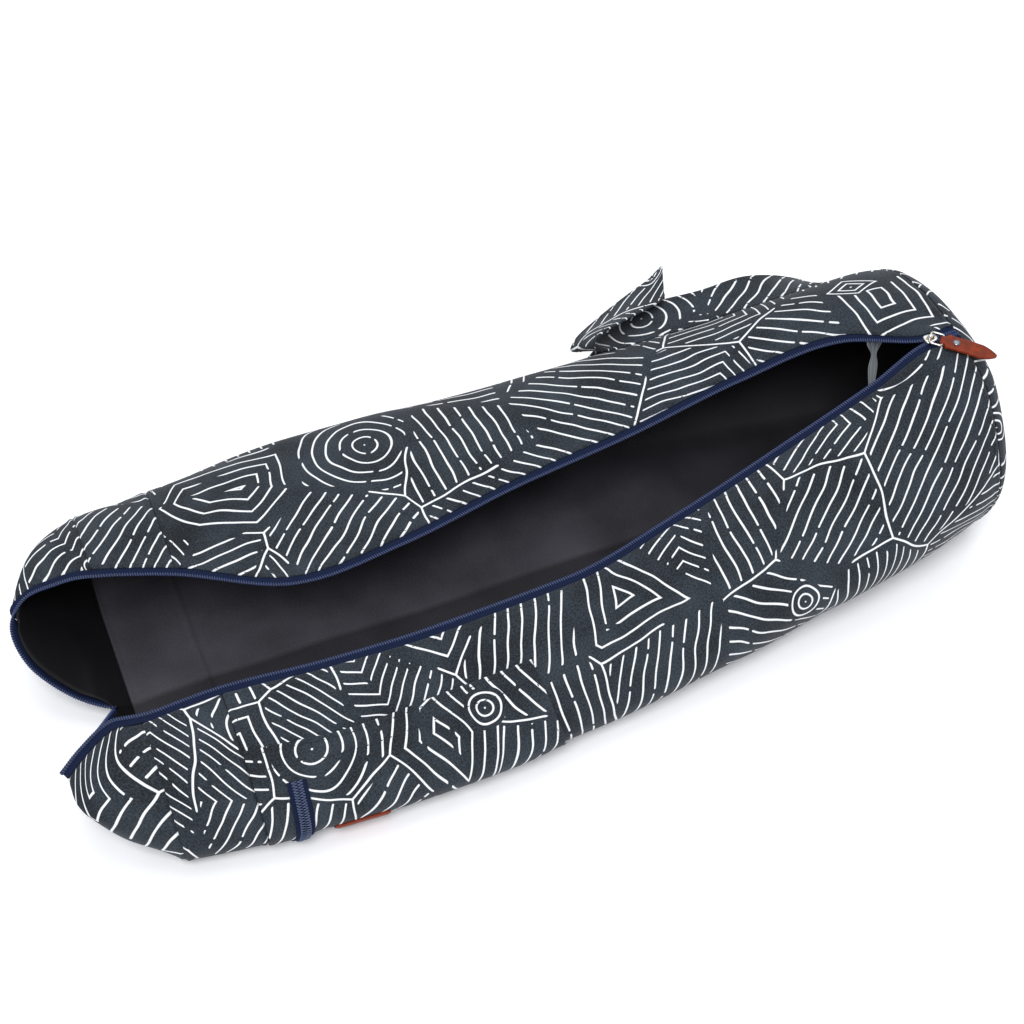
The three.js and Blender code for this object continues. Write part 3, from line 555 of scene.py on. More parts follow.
def sew_edges(points, normals, sides, dive, pad, pucker):
    """Draws a cloth grid in at its sewn sides: a steep dive at the seam, a padded allowance 3.5 mm wide
    beside it, and puckers that fade within 12 mm."""
    d = edge_distances(points, sides)
    where = points[..., 0] + 0.7 * points[..., 1] + 0.6 * points[..., 2]
    waves = np.sin(where * 2 * np.pi / 0.0165 + 1.7 * np.sin(where * 41)) * np.exp(-d / 0.008)
    height = -dive * bell(d, 0, 0.0011) + pad * bell(d, 0.0030, 0.0022) + pucker * waves * (
        1 - bell(d, 0, 0.002)
    )
    moved = points + normals * height[..., None]
    moved[..., 2] = np.maximum(moved[..., 2], SOLE)
    return moved


def fill_mesh(mesh, points, uv, closed=False):
    """Quads on a grid (n, m, 3), outward where rows cross columns as across times along; uv (n, m, 2)."""
    n, m = points.shape[:2]
    index = np.arange(n * m).reshape(n, m)
    ahead = np.roll(index, -1, axis=1) if closed else index[:, 1:]
    here = index if closed else index[:, :-1]
    faces = np.stack([here[:-1], ahead[:-1], ahead[1:], here[1:]], axis=-1).reshape(-1, 4)
    mesh.from_pydata(points.reshape(-1, 3), [], faces)
    mesh.polygons.foreach_set("use_smooth", np.ones(len(faces), bool))
    layer = mesh.uv_layers.new(name="cloth")
    layer.data.foreach_set("uv", uv.reshape(-1, 2)[faces.ravel()].astype(np.float32).ravel())
    mesh.update()


def weld(mesh, distance=1e-6):
    """Merges doubles, which closes poles and joins."""
    work = bmesh.new()
    work.from_mesh(mesh)
    bmesh.ops.remove_doubles(work, verts=work.verts, dist=distance)
    work.to_mesh(mesh)
    work.free()


def new_piece(name, mesh, material, nodes):
    piece = bpy.data.objects.new(name, mesh)
    bpy.context.scene.collection.objects.link(piece)
    mesh.materials.append(material)
    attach(piece, "root")
    if nodes:
        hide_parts(*nodes)
    return piece


def cloth_piece(name, grids, thickness, material, nodes, closed=False):
    """A sheet of cloth on one or more grids that share their edges, with its thickness on its inner side."""
    work = bmesh.new()
    for points, uv in grids:
        part = bpy.data.meshes.new("part")
        fill_mesh(part, points, uv, closed)
        work.from_mesh(part)
        bpy.data.meshes.remove(part)
    bmesh.ops.remove_doubles(work, verts=work.verts, dist=1e-6)
    mesh = bpy.data.meshes.new(name)
    work.to_mesh(mesh)
    work.free()
    mesh.polygons.foreach_set("use_smooth", np.ones(len(mesh.polygons), bool))
    piece = new_piece(name, mesh, material, nodes)
    wall = piece.modifiers.new("thickness", "SOLIDIFY")
    wall.thickness = thickness
    wall.offset = -1
    wall.use_rim = True


def frames_along(path, up, closed=False):
    """Unit along, side and up at each point of a path (n, 3): along by differences, side square to along and
    up."""
    if closed:
        along = unit(np.roll(path, -1, axis=0) - np.roll(path, 1, axis=0))
    else:
        along = unit(np.gradient(path, axis=0))
    side = unit(np.cross(np.broadcast_to(up, path.shape), along))
    return along, side, np.cross(along, side)


def tube(path, up, radius, sides, closed=False):
    """A round profile carried along a path: centre + radius (cos side + sin up). radius is a number or
    (n,)."""
    _, side, top = frames_along(path, up, closed)
    turn = np.arange(sides) * 2 * np.pi / sides
    r = np.broadcast_to(radius, (len(path),))[:, None, None]
    rings = path[:, None] + r * (
        np.cos(turn)[None, :, None] * side[:, None] + np.sin(turn)[None, :, None] * top[:, None]
    )
    if closed:
        return np.concatenate([rings, rings[:1]])
    return capped(rings, path)


def tube_uv(rings):
    walked = walk(rings.mean(axis=1))
    round_share = np.linspace(0, 1, rings.shape[1])
    return np.stack(np.broadcast_arrays(walked[:, None], round_share[None] * 0.004), axis=-1)


def solid_piece(name, grids, material, nodes):
    """One mesh of several closed grids (n, m, 3), each closed round its columns."""
    work = bmesh.new()
    for points in grids:
        part = bpy.data.meshes.new("part")
        fill_mesh(part, points, tube_uv(points), closed=True)
        weld(part)
        work.from_mesh(part)
        bpy.data.meshes.remove(part)
    mesh = bpy.data.meshes.new(name)
    work.to_mesh(mesh)
    work.free()
    mesh.polygons.foreach_set("use_smooth", np.ones(len(mesh.polygons), bool))
    new_piece(name, mesh, material, nodes)


def repeat_shape(name, shape, faces, places, material):
    """One mesh of a small shape (k, 3) at each of many frames (n, 4, 3): origin, then its x, y and z axes."""
    points = places[:, None, 0] + np.einsum("kc,ncd->nkd", shape, places[:, 1:])
    all_faces = (
        faces[None] + (np.arange(len(places)) * len(shape))[:, None, None]
    ).reshape(-1, faces.shape[1])
    mesh = bpy.data.meshes.new(name)
    mesh.from_pydata(points.reshape(-1, 3), [], all_faces)
    mesh.polygons.foreach_set("use_smooth", np.ones(len(all_faces), bool))
    mesh.update()
    weld(mesh, 1e-8)
    new_piece(name, mesh, material, ())


def spaced(path, normals, pitch):
    """Points, directions and normals every pitch metres along a path."""
    walked = walk(path)
    count = max(int(walked[-1] / pitch), 2)
    marks = (np.arange(count) + 0.5) * walked[-1] / count
    points, tops = [resampled(values, walked, marks) for values in (path, normals)]
    along = unit(np.gradient(points, axis=0))
    return points, along, unit(tops)


def stitch_places(rows, look):
    """Frames (n, 4, 3) of the stitches of several rows of (path, normals): long, broad and high axes
    scaled."""
    places = []
    for path, normals in rows:
        points, along, tops = spaced(path, normals, look.stitch_pitch)
        side = unit(np.cross(tops, along))
        tops = np.cross(along, side)
        half = look.stitch_pitch * 0.36
        places.append(
            np.stack(
                [points, along * half, side * look.thread_width / 2, tops * look.thread_width / 2], axis=1
            )
        )
    return np.concatenate(places)


def stitch_shape():
    """A spindle of six sides: radius (1 - x^4)^(1/2) at x from -1 to 1, sunk at its ends."""
    x = np.array([-1, -0.82, -0.4, 0, 0.4, 0.82, 1])
    radius = np.sqrt(np.maximum(1 - x**4, 0))
    turn = np.arange(6) * np.pi / 3
    rings = np.stack(
        np.broadcast_arrays(
            x[:, None], radius[:, None] * np.cos(turn), radius[:, None] * np.sin(turn) - 0.7 * x[:, None] ** 4
        ),
        axis=-1,
    )
    index = np.arange(42).reshape(7, 6)
    ahead = np.roll(index, -1, axis=1)
    faces = np.stack([index[:-1], ahead[:-1], ahead[1:], index[1:]], axis=-1).reshape(-1, 4)
    return rings.reshape(-1, 3), faces[:, ::-1]


# ---------------------------------------------------------------- materials


WAVE_SCALE = 0.314  # of a wave texture whose bands are 1 m apart


def srgb(code):
    """Linear RGBA of an sRGB hex colour."""
    parts = [int(code[k : k + 2], 16) / 255 for k in (1, 3, 5)]
    return [c / 12.92 if c <= 0.04045 else ((c + 0.055) / 1.055) ** 2.4 for c in parts] + [1.0]


def add_node(tree, kind, feeds=(), **settings):
    """One shader node with its settings; feeds fills inputs, in order or by name or number, with a number,
    socket or node."""
    node = tree.nodes.new("ShaderNode" + kind)
    for key, value in settings.items():
        setattr(node, key, value)
    for key, feed in feeds.items() if isinstance(feeds, dict) else enumerate(feeds):
        if isinstance(feed, bpy.types.Node):
            feed = next(output for output in feed.outputs if output.enabled)
        if isinstance(feed, bpy.types.NodeSocket):
            tree.links.new(feed, node.inputs[key])
        else:
            node.inputs[key].default_value = feed
    return node


def new_material(name, settings, cloth=False):
    """A material with a Principled surface whose constant inputs are set on the shader itself, and the place
    that its patterns read: a flat cloth place or the object's own coordinates, both in metres."""
    material = bpy.data.materials.new(name)
    material.use_nodes = True
    tree = material.node_tree
    tree.nodes.clear()
    shader = add_node(tree, "BsdfPrincipled", settings)
    add_node(tree, "OutputMaterial", {"Surface": shader})
    if cloth:
        where = add_node(tree, "UVMap", uv_map="cloth").outputs["UV"]
    else:
        where = add_node(tree, "TexCoord").outputs["Object"]
    return material, tree, shader, where


def shades(colour, *shares):
    """A linear colour made darker or paler by each share, as RGBA."""
    return [tuple(colour[k] * share for k in range(3)) + (1.0,) for share in shares]


def dress(tree, shader, tones=None, roughness=None, relief=None):
    """Feeds a surface: tones is (amount, darker colour, paler colour), roughness is (amount, low, high) and
    relief is (height, strength, depth in metres)."""
    if tones:
        colour = add_node(tree, "Mix", dict(zip((0, 6, 7), tones)), data_type="RGBA").outputs[2]
        tree.links.new(colour, shader.inputs["Base Color"])
    if roughness:
        rough = add_node(tree, "MapRange", dict(zip(("Value", "To Min", "To Max"), roughness)))
        tree.links.new(rough.outputs["Result"], shader.inputs["Roughness"])
    if relief:
        bump = add_node(tree, "Bump", dict(zip(("Height", "Strength", "Distance"), relief)))
        tree.links.new(bump.outputs["Normal"], shader.inputs["Normal"])


def line_print(tree, where, look):
    """Amount of white ink at a cloth place in metres.

    Voronoi patches hold lines at a turn of their own: straight, bent to a chevron, arched round the patch's
    point or nested along its border. Lines are broken in dashes with round ends, because ink falls off with
    the length of (distance off the line, distance past the dash, distance into the border). Small ringed and
    lozenge-shaped motifs with a clear margin lie over them."""
    wobble = add_node(
        tree, "TexNoise", {"Vector": where, "Scale": 26.0, "Detail": 1.0}, noise_dimensions="2D"
    )
    where = add_node(
        tree, "VectorMath", [wobble.outputs["Color"], (0.007, 0.007, 0.0), where], operation="MULTIPLY_ADD"
    ).outputs["Vector"]
    patch = {"Vector": where, "Scale": 1 / look.patch_size, "Randomness": 0.92}
    cell = add_node(tree, "TexVoronoi", patch, voronoi_dimensions="2D", feature="F1")
    border = add_node(tree, "TexVoronoi", patch, voronoi_dimensions="2D", feature="DISTANCE_TO_EDGE")
    inside = add_node(tree, "Math", [border.outputs["Distance"], look.patch_size], operation="MULTIPLY")
    chance = add_node(tree, "SeparateColor", {"Color": cell.outputs["Color"]})
    local = add_node(tree, "VectorMath", [where, cell.outputs["Position"]], operation="SUBTRACT")
    sevenths = add_node(tree, "Math", [chance.outputs["Red"], 7.0], operation="MULTIPLY")
    whole = add_node(tree, "Math", [sevenths], operation="FLOOR")
    turn = add_node(tree, "Math", [whole, math.pi / 7, 0.3], operation="MULTIPLY_ADD")
    turned = add_node(tree, "VectorRotate", {"Vector": local, "Angle": turn}, rotation_type="Z_AXIS")
    place = add_node(tree, "SeparateXYZ", {"Vector": turned})
    fold = add_node(tree, "Math", [place.outputs["X"]], operation="ABSOLUTE")
    bent = add_node(tree, "Math", [chance.outputs["Green"], 0.6], operation="GREATER_THAN")
    slope = add_node(tree, "Math", [bent, 0.8], operation="MULTIPLY")
    straight = add_node(tree, "Math", [fold, slope, place.outputs["Y"]], operation="MULTIPLY_ADD")
    radius = add_node(tree, "VectorMath", [local], operation="LENGTH").outputs["Value"]
    arched = add_node(tree, "Math", [chance.outputs["Blue"], 0.86], operation="GREATER_THAN")
    nested = add_node(tree, "Math", [chance.outputs["Blue"], 0.14], operation="LESS_THAN")
    across = add_node(tree, "Mix", {0: arched, 2: straight, 3: radius})
    across = add_node(tree, "Mix", {0: nested, 2: across, 3: inside})
    steps = add_node(tree, "Math", [across, 1 / look.line_spacing, 0.5], operation="MULTIPLY_ADD")
    line = add_node(tree, "Math", [steps], operation="FLOOR")
    within = add_node(tree, "Math", [steps], operation="FRACT")
    off = add_node(
        tree, "Math", [within, look.line_spacing, -look.line_spacing / 2], operation="MULTIPLY_ADD"
    )
    off = add_node(tree, "Math", [off], operation="ABSOLUTE")
    seed = add_node(tree, "CombineXYZ", {"X": line, "Y": cell.outputs["Color"]})
    luck = add_node(tree, "TexWhiteNoise", {"Vector": seed}, noise_dimensions="2D").outputs["Value"]
    period = add_node(
        tree, "Math", [luck, DASH_LENGTHS[1] - DASH_LENGTHS[0], DASH_LENGTHS[0]], operation="MULTIPLY_ADD"
    )
    run = add_node(tree, "Math", [place.outputs["X"], period], operation="DIVIDE")
    run = add_node(tree, "Math", [luck, 7.3, run], operation="MULTIPLY_ADD")
    run = add_node(tree, "Math", [run], operation="FRACT")
    run = add_node(tree, "Math", [run, 0.5], operation="SUBTRACT")
    run = add_node(tree, "Math", [run], operation="ABSOLUTE")
    run = add_node(tree, "Math", [run, 0.5], operation="SUBTRACT")
    past = add_node(
        tree, "Math", [run, period, look.dash_gap / 2 + look.line_width / 2], operation="MULTIPLY_ADD"
    )
    past = add_node(tree, "Math", [past, 0.0], operation="MAXIMUM")
    into = add_node(tree, "Math", [PATCH_MARGIN, inside], operation="SUBTRACT")
    into = add_node(tree, "Math", [into, 0.0], operation="MAXIMUM")
    reach = add_node(tree, "CombineXYZ", {"X": off, "Y": past, "Z": into})
    reach = add_node(tree, "VectorMath", [reach], operation="LENGTH").outputs["Value"]
    soft = look.line_width * 0.12
    edge = {
        "From Min": look.line_width / 2 - soft, "From Max": look.line_width / 2 + soft, "To Min": 1.0,
        "To Max": 0.0,
    }
    dashes = add_node(tree, "MapRange", {"Value": reach, **edge})
    broad = add_node(tree, "TexNoise", {"Vector": where, "Scale": 9.0, "Detail": 0.0}, noise_dimensions="2D")
    held = add_node(
        tree, "MapRange",
        {"Value": broad.outputs["Fac"], "From Min": 0.50, "From Max": 0.53, "To Min": 0.003, "To Max": 0.0},
    )
    outline = add_node(tree, "Math", [inside, held], operation="ADD")
    outline = add_node(tree, "MapRange", {"Value": outline, **edge})
    patches = add_node(tree, "Math", [dashes, outline], operation="MAXIMUM")
    # Motifs, one in most cells of a wider Voronoi pattern
    spot = add_node(
        tree, "TexVoronoi", {"Vector": where, "Scale": 1 / look.motif_spacing, "Randomness": 0.8},
        voronoi_dimensions="2D", feature="F1",
    )
    luck = add_node(tree, "SeparateColor", {"Color": spot.outputs["Color"]})
    local = add_node(tree, "VectorMath", [where, spot.outputs["Position"]], operation="SUBTRACT")
    parts = add_node(tree, "VectorMath", [local], operation="ABSOLUTE")
    lozenge = add_node(
        tree, "VectorMath", [parts, (0.62, 1.0, 0.0)], operation="DOT_PRODUCT"
    ).outputs["Value"]
    ring = add_node(tree, "VectorMath", [local], operation="LENGTH").outputs["Value"]
    choice = add_node(tree, "Math", [luck.outputs["Green"], 0.5], operation="GREATER_THAN")
    reach = add_node(tree, "Mix", {0: choice, 2: ring, 3: lozenge})
    absent = add_node(tree, "Math", [luck.outputs["Red"], 0.3], operation="LESS_THAN")
    reach = add_node(tree, "Math", [reach, absent], operation="ADD")
    rings = reach
    for size in MOTIF_RINGS:
        off = add_node(tree, "Math", [reach, size], operation="SUBTRACT")
        off = add_node(tree, "Math", [off], operation="ABSOLUTE")
        rings = add_node(tree, "Math", [rings, off], operation="MINIMUM")
    motif = add_node(tree, "MapRange", {"Value": rings, **edge})
    margin = add_node(tree, "Math", [reach, MOTIF_MARGIN], operation="GREATER_THAN")
    patches = add_node(tree, "Math", [patches, margin], operation="MULTIPLY")
    return add_node(tree, "Math", [patches, motif], operation="MAXIMUM")


def printed_canvas(look):
    """Plain-weave cotton canvas, dyed dark slate and screen printed in white: matt, with a fine speckle where
    threads catch the light and worn paler patches. Threads are drawn 0.9 mm apart so that they show."""
    material, tree, shader, where = new_material(
        "printed cotton canvas",
        {"Roughness": 0.88, "Sheen Weight": 0.08, "Sheen Roughness": 0.5, "Specular IOR Level": 0.25}, True,
    )
    weave = {
        "Vector": where, "Scale": WAVE_SCALE / 0.0009, "Distortion": 1.2, "Detail": 1.0, "Detail Scale": 2.0
    }
    warp, weft = [add_node(tree, "TexWave", weave, bands_direction=way) for way in "XY"]
    threads = add_node(tree, "Math", [warp.outputs["Fac"], weft.outputs["Fac"]], operation="MULTIPLY")
    speckle = add_node(
        tree, "TexNoise", {"Vector": where, "Scale": 700.0, "Detail": 3.0, "Roughness": 0.7},
        noise_dimensions="2D",
    )
    worn = add_node(
        tree, "TexNoise", {"Vector": where, "Scale": 22.0, "Detail": 4.0, "Roughness": 0.6},
        noise_dimensions="2D",
    )
    tone = add_node(tree, "Math", [worn.outputs["Fac"], 0.5, -0.12], operation="MULTIPLY_ADD")
    tone = add_node(tree, "Math", [speckle.outputs["Fac"], 0.9, tone], operation="MULTIPLY_ADD")
    tone = add_node(tree, "MapRange", {"Value": tone, "From Min": 0.42, "From Max": 0.78})
    dark, pale = shades(look.canvas_colour, 0.4, 2.1)
    cloth = add_node(tree, "Mix", {0: tone, 6: dark, 7: pale}, data_type="RGBA").outputs[2]
    ink = line_print(tree, where, look)
    cover = add_node(
        tree, "MapRange",
        {"Value": speckle.outputs["Fac"], "From Min": 0.25, "From Max": 0.5, "To Min": 0.72, "To Max": 1.0},
    )
    ink = add_node(tree, "Math", [ink, cover], operation="MULTIPLY")
    relief = add_node(tree, "Math", [threads, speckle.outputs["Fac"]], operation="ADD")
    dress(tree, shader, tones=(ink, cloth, *shades(look.ink_colour, 1)), relief=(relief, 0.5, 0.00025))
    return material


def black_lining(look):
    """Woven polyester lining: a dull gloss and a very fine twill, in charcoal. Painted shade darkens its
    colour: near black on the open end's flaps, darker towards the closed end and on its cap, and darker in a
    strip on the near side of the lengthwise seam."""
    material, tree, shader, where = new_material(
        "black polyester lining", {"Roughness": 0.6, "Specular IOR Level": 0.2}, True
    )
    twill = add_node(
        tree, "TexWave", {"Vector": where, "Scale": WAVE_SCALE / 0.0011, "Distortion": 0.6},
        bands_direction="DIAGONAL",
    )
    grain = add_node(
        tree, "TexNoise", {"Vector": where, "Scale": 700.0, "Detail": 2.0}, noise_dimensions="2D"
    )
    cloud = add_node(tree, "TexNoise", {"Vector": where, "Scale": 14.0, "Detail": 3.0}, noise_dimensions="2D")
    tone = add_node(tree, "Math", [grain.outputs["Fac"], 0.5, cloud.outputs["Fac"]], operation="MULTIPLY_ADD")
    tone = add_node(tree, "MapRange", {"Value": tone, "From Min": 0.5, "From Max": 1.0})
    dark, pale = shades(look.lining_colour, 0.7, 1.35)
    colour = add_node(tree, "Mix", {0: tone, 6: dark, 7: pale}, data_type="RGBA").outputs[2]
    place = add_node(tree, "SeparateXYZ", {"Vector": where})
    along, round_it = place.outputs["X"], place.outputs["Y"]
    # Painted shade: the open end's flaps, below zero along, are darkened to a tenth.
    front = add_node(
        tree, "MapRange",
        {"Value": along, "From Min": -0.001, "From Max": 0.001, "To Min": 0.1, "To Max": 1.0},
    )
    # Painted shade: darker from 0.38 m to 0.56 m along, down to 0.3 at the closed end and on its cap.
    back = add_node(
        tree, "MapRange", {"Value": along, "From Min": 0.38, "From Max": 0.56, "To Min": 1.0, "To Max": 0.3}
    )
    # Painted shade: the strip on the near side of the lengthwise seam is darkened to 0.42.
    near_shade_range = {
        "Value": round_it, "From Min": LINING_SEAM - 0.004, "From Max": LINING_SEAM + 0.001, "To Min": 0.42,
        "To Max": 1.0,
    }
    near = add_node(tree, "MapRange", near_shade_range)
    # depth is the painted shade, the product of the three, which scales the lining's colour.
    depth = add_node(tree, "Math", [front, back], operation="MULTIPLY")
    depth = add_node(tree, "Math", [depth, near], operation="MULTIPLY")
    colour = add_node(tree, "VectorMath", {0: colour, "Scale": depth}, operation="SCALE").outputs["Vector"]
    tree.links.new(colour, shader.inputs["Base Color"])
    relief = add_node(tree, "Math", [twill.outputs["Fac"], grain.outputs["Fac"]], operation="ADD")
    dress(tree, shader, relief=(relief, 0.25, 0.0002))
    return material


def zip_tape(look):
    """Woven polyester zip tape, navy: matt, with a herringbone rib along it, drawn 1.1 mm apart."""
    material, tree, shader, where = new_material(
        "woven navy zip tape", {"Roughness": 0.85, "Specular IOR Level": 0.15}, True
    )
    rib = add_node(
        tree, "TexWave", {"Vector": where, "Scale": WAVE_SCALE / 0.0011, "Distortion": 0.5},
        bands_direction="DIAGONAL",
    )
    grain = add_node(
        tree, "TexNoise", {"Vector": where, "Scale": 900.0, "Detail": 2.0}, noise_dimensions="2D"
    )
    tone = add_node(tree, "Math", [rib.outputs["Fac"], 0.6, grain.outputs["Fac"]], operation="MULTIPLY_ADD")
    tone = add_node(tree, "MapRange", {"Value": tone, "From Min": 0.4, "From Max": 1.2})
    dress(tree, shader, tones=(tone, *shades(look.tape_colour, 0.65, 1.4)), relief=(rib, 0.4, 0.0002))
    return material


def nylon_coil(name, filament):
    """Nylon monofilament: smooth and half glossy, slightly scuffed."""
    material, tree, shader, where = new_material(name, {"Specular IOR Level": 0.6})
    scuff = add_node(tree, "TexNoise", {"Vector": where, "Scale": 260.0, "Detail": 2.0})
    dress(
        tree, shader, tones=(scuff.outputs["Fac"], *shades(filament, 0.8, 1.25)),
        roughness=(scuff.outputs["Fac"], 0.3, 0.5),
    )
    return material


def thread(look):
    """Twisted polyester sewing thread: dull, with a faint twist."""
    material, tree, shader, where = new_material(
        "dark sewing thread", {"Roughness": 0.7, "Sheen Weight": 0.1}
    )
    twist = add_node(tree, "TexNoise", {"Vector": where, "Scale": 1500.0, "Detail": 1.0})
    dress(tree, shader, tones=(twist.outputs["Fac"], *shades(look.thread_colour, 0.7, 1.4)))
    return material


def plated_metal(name, plating):
    """Plated zinc die casting: bright, with soft flow marks and fine wear."""
    material, tree, shader, where = new_material(name, {"Metallic": 1.0})
    wear = add_node(tree, "TexNoise", {"Vector": where, "Scale": 420.0, "Detail": 3.0})
    dress(
        tree, shader, tones=(wear.outputs["Fac"], *shades(plating, 0.82, 1.1)),
        roughness=(wear.outputs["Fac"], 0.12, 0.34), relief=(wear.outputs["Fac"], 0.15, 0.0001),
    )
    return material


def tan_leather(look):
    """Vegetable-tanned cowhide, dyed chestnut: pebbled grain 0.8 mm across, soft gloss, darker in the
    grain."""
    material, tree, shader, where = new_material("chestnut leather", {"Specular IOR Level": 0.25})
    pebble = add_node(tree, "TexVoronoi", {"Vector": where, "Scale": 1250.0}, feature="DISTANCE_TO_EDGE")
    crease = add_node(
        tree, "MapRange", {"Value": pebble.outputs["Distance"], "From Min": 0.0, "From Max": 0.18}
    )
    cloud = add_node(tree, "TexNoise", {"Vector": where, "Scale": 170.0, "Detail": 4.0, "Roughness": 0.6})
    tone = add_node(tree, "Math", [crease, 0.25, cloud.outputs["Fac"]], operation="MULTIPLY_ADD")
    tone = add_node(tree, "MapRange", {"Value": tone, "From Min": 0.45, "From Max": 1.0})
    dress(
        tree, shader, tones=(tone, *shades(look.leather_colour, 0.55, 1.35)),
        roughness=(cloud.outputs["Fac"], 0.36, 0.56), relief=(crease, 0.3, 0.00015),
    )
    return material


def sheer_ribbon(look):
    """Thin grey satin ribbon: light passes in part, with fine warp threads along it."""
    material, tree, shader, where = new_material(
        "sheer grey ribbon", {"Roughness": 0.45, "Sheen Weight": 0.2, "Alpha": 0.86}, True
    )
    warp = add_node(
        tree, "TexWave", {"Vector": where, "Scale": WAVE_SCALE / 0.0009, "Distortion": 0.4},
        bands_direction="Y",
    )
    dress(
        tree, shader, tones=(warp.outputs["Fac"], *shades(look.ribbon_colour, 0.7, 1.2)),
        relief=(warp, 0.3, 0.0002),
    )
    return material


def studio_floor(look):
    """Matt painted board under the bag, pale and plain."""
    material, tree, shader, where = new_material(
        "pale studio floor", {"Roughness": 0.9, "Specular IOR Level": 0.1}
    )
    cloud = add_node(tree, "TexNoise", {"Vector": where, "Scale": 3.0, "Detail": 2.0})
    dress(tree, shader, tones=(cloud.outputs["Fac"], *shades(look.floor_colour, 0.995, 1.0)))
    return material


MAKERS = {
    "printed_canvas": printed_canvas,
    "black_lining": black_lining,
    "navy_tape": zip_tape,
    "navy_coil": lambda look: nylon_coil("navy nylon coil", look.coil_colour),
    "grey_coil": lambda look: nylon_coil("grey-blue nylon coil", look.short_coil_colour),
    "thread": thread,
    "bright_metal": lambda look: plated_metal("nickel-plated zinc", look.metal_colour),
    "dark_metal": lambda look: plated_metal("gunmetal-plated steel", look.rivet_colour),
    "tan_leather": tan_leather,
    "grey_tag": sheer_ribbon,
    "floor": studio_floor,
}
made = {}


def finish_of(key, look):
    """The material of a finish, made once."""
    if key not in made:
        made[key] = MAKERS[key](look)
    return made[key]


# ---------------------------------------------------------------- properties


def colour_property(name, description, code):
    return bpy.props.FloatVectorProperty(
        name=name, description=description, subtype="COLOR", size=3, min=0, max=1, default=srgb(code)[:3]
    )


def length_property(name, description, metres):
    return bpy.props.FloatProperty(
        name=name, description=description, subtype="DISTANCE", unit="LENGTH", min=0, precision=5,
        default=metres,
    )


class MatBagPrint(bpy.types.PropertyGroup):
    """Sizes and colours of the canvas and its print."""

    canvas_colour: colour_property("Canvas", "Dyed cotton canvas", "#242a30")
    ink_colour: colour_property("Ink", "Screen-printed lines", "#eef0f1")
    line_width: length_property("Line width", "Width of a printed line", 0.0015)
    line_spacing: length_property("Line spacing", "From one printed line to the next", 0.0104)
    patch_size: length_property("Patch size", "Mean width of a patch of like lines", 0.088)
    dash_gap: length_property("Dash gap", "Gap between two dashes on one line", 0.0034)
    motif_spacing: length_property("Motif spacing", "Mean distance between two small motifs", 0.185)


class MatBagTrim(bpy.types.PropertyGroup):
    """Sizes and colours of the trimmings."""

    lining_colour: colour_property("Lining", "Woven polyester lining", "#3b3a40")
    tape_colour: colour_property("Zip tape", "Woven zip tape", "#101a33")
    coil_colour: colour_property("Zip coil", "Nylon coil", "#324479")
    short_coil_colour: colour_property("Short zip's coil", "Nylon coil on the pocket", "#434f6d")
    thread_colour: colour_property("Thread", "Sewing thread", "#0e1115")
    metal_colour: colour_property("Metal", "Nickel plating", "#d6d1c8")
    rivet_colour: colour_property("Rivet", "Gunmetal plating", "#868c94")
    leather_colour: colour_property("Leather", "Dyed cowhide", "#7f2a07")
    ribbon_colour: colour_property("Ribbon", "Sheer ribbon inside the mouth", "#b9bfc5")
    coil_pitch: length_property("Coil pitch", "From one turn of the zip's coil to the next", 0.0019)
    coil_wire: length_property("Coil wire", "Radius of the coil's filament", 0.0004)
    stitch_pitch: length_property("Stitch pitch", "From one stitch to the next", 0.0036)
    thread_width: length_property("Thread width", "Width of the sewing thread", 0.0007)
    seam_dive: length_property("Seam dive", "How deep cloth turns in at a seam", 0.0010)
    seam_pad: length_property("Seam pad", "Height of a seam's allowance", 0.0004)
    seam_pucker: length_property("Seam pucker", "Height of the puckers beside a seam", 0.00045)


class MatBagStudio(bpy.types.PropertyGroup):
    """Floor and light."""

    floor_colour: colour_property("Floor", "Plain pale floor", "#fbfbfc")
    key_strength: bpy.props.FloatProperty(
        name="Key light", description="Strength of the broad light in front", min=0, default=2.0
    )
    fill_strength: bpy.props.FloatProperty(
        name="Fill light", description="Strength of the broad light behind", min=0, default=0.9
    )
    sky_colour: colour_property("Sky", "Colour of the light from the surroundings", "#f3f7ff")
    sky: bpy.props.FloatProperty(
        name="Surroundings", description="Light from the white surroundings", min=0, default=0.6
    )


# ---------------------------------------------------------------- rows shared by several operators


def graded(start, end, count, evenness=0.15):
    """count values from start to end whose steps are small at both ends: s - (1 - evenness) sin(2 pi s) / (2
    pi)."""
    s = np.linspace(0, 1, count)
    return start + (end - start) * (s - (1 - evenness) * np.sin(2 * np.pi * s) / (2 * np.pi))


def zip_rows(far):
    """The zip's line from the closed end to the bottom stop: coil point, canvas edge and cloth normal."""
    at = np.linspace(1, 0, 261)
    mark = np.full((len(at), 1), LAST_MARK if far else 0.0)
    edge_rounds = rounds_at(at, TAPE_REACH, far)
    coil = body_face(at, mark)[:, 0]
    edge, normal = [values[:, 0] for values in on_body(at, edge_rounds, 0.0)[:2]]
    share = np.linspace(0, 1, 91)[1:]
    _, end_coil, inward, _, _ = flap_lines(share, far)
    end_edge = end_coil + inward * TAPE_REACH
    out = unit(np.cross(unit(np.gradient(end_coil, axis=0)), inward)) * (1 if far else -1)
    coil = np.concatenate([coil, end_coil + ORIGIN])
    edge = np.concatenate([edge, end_edge + ORIGIN])
    normal = np.concatenate([normal, out])
    corner = len(at) - 1
    walked = np.linalg.norm(coil - coil[corner], axis=1)
    ease = bell(walked, 0, 0.012)[1:-1, None]
    for _ in range(60):
        normal[1:-1] = unit(normal[:-2] + normal[1:-1] * 2 + normal[2:])
        for line in (coil, edge):
            line[1:-1] += ease * (line[:-2] + line[2:] - 2 * line[1:-1]) * 0.3
    return coil, edge, normal


# ---------------------------------------------------------------- operators


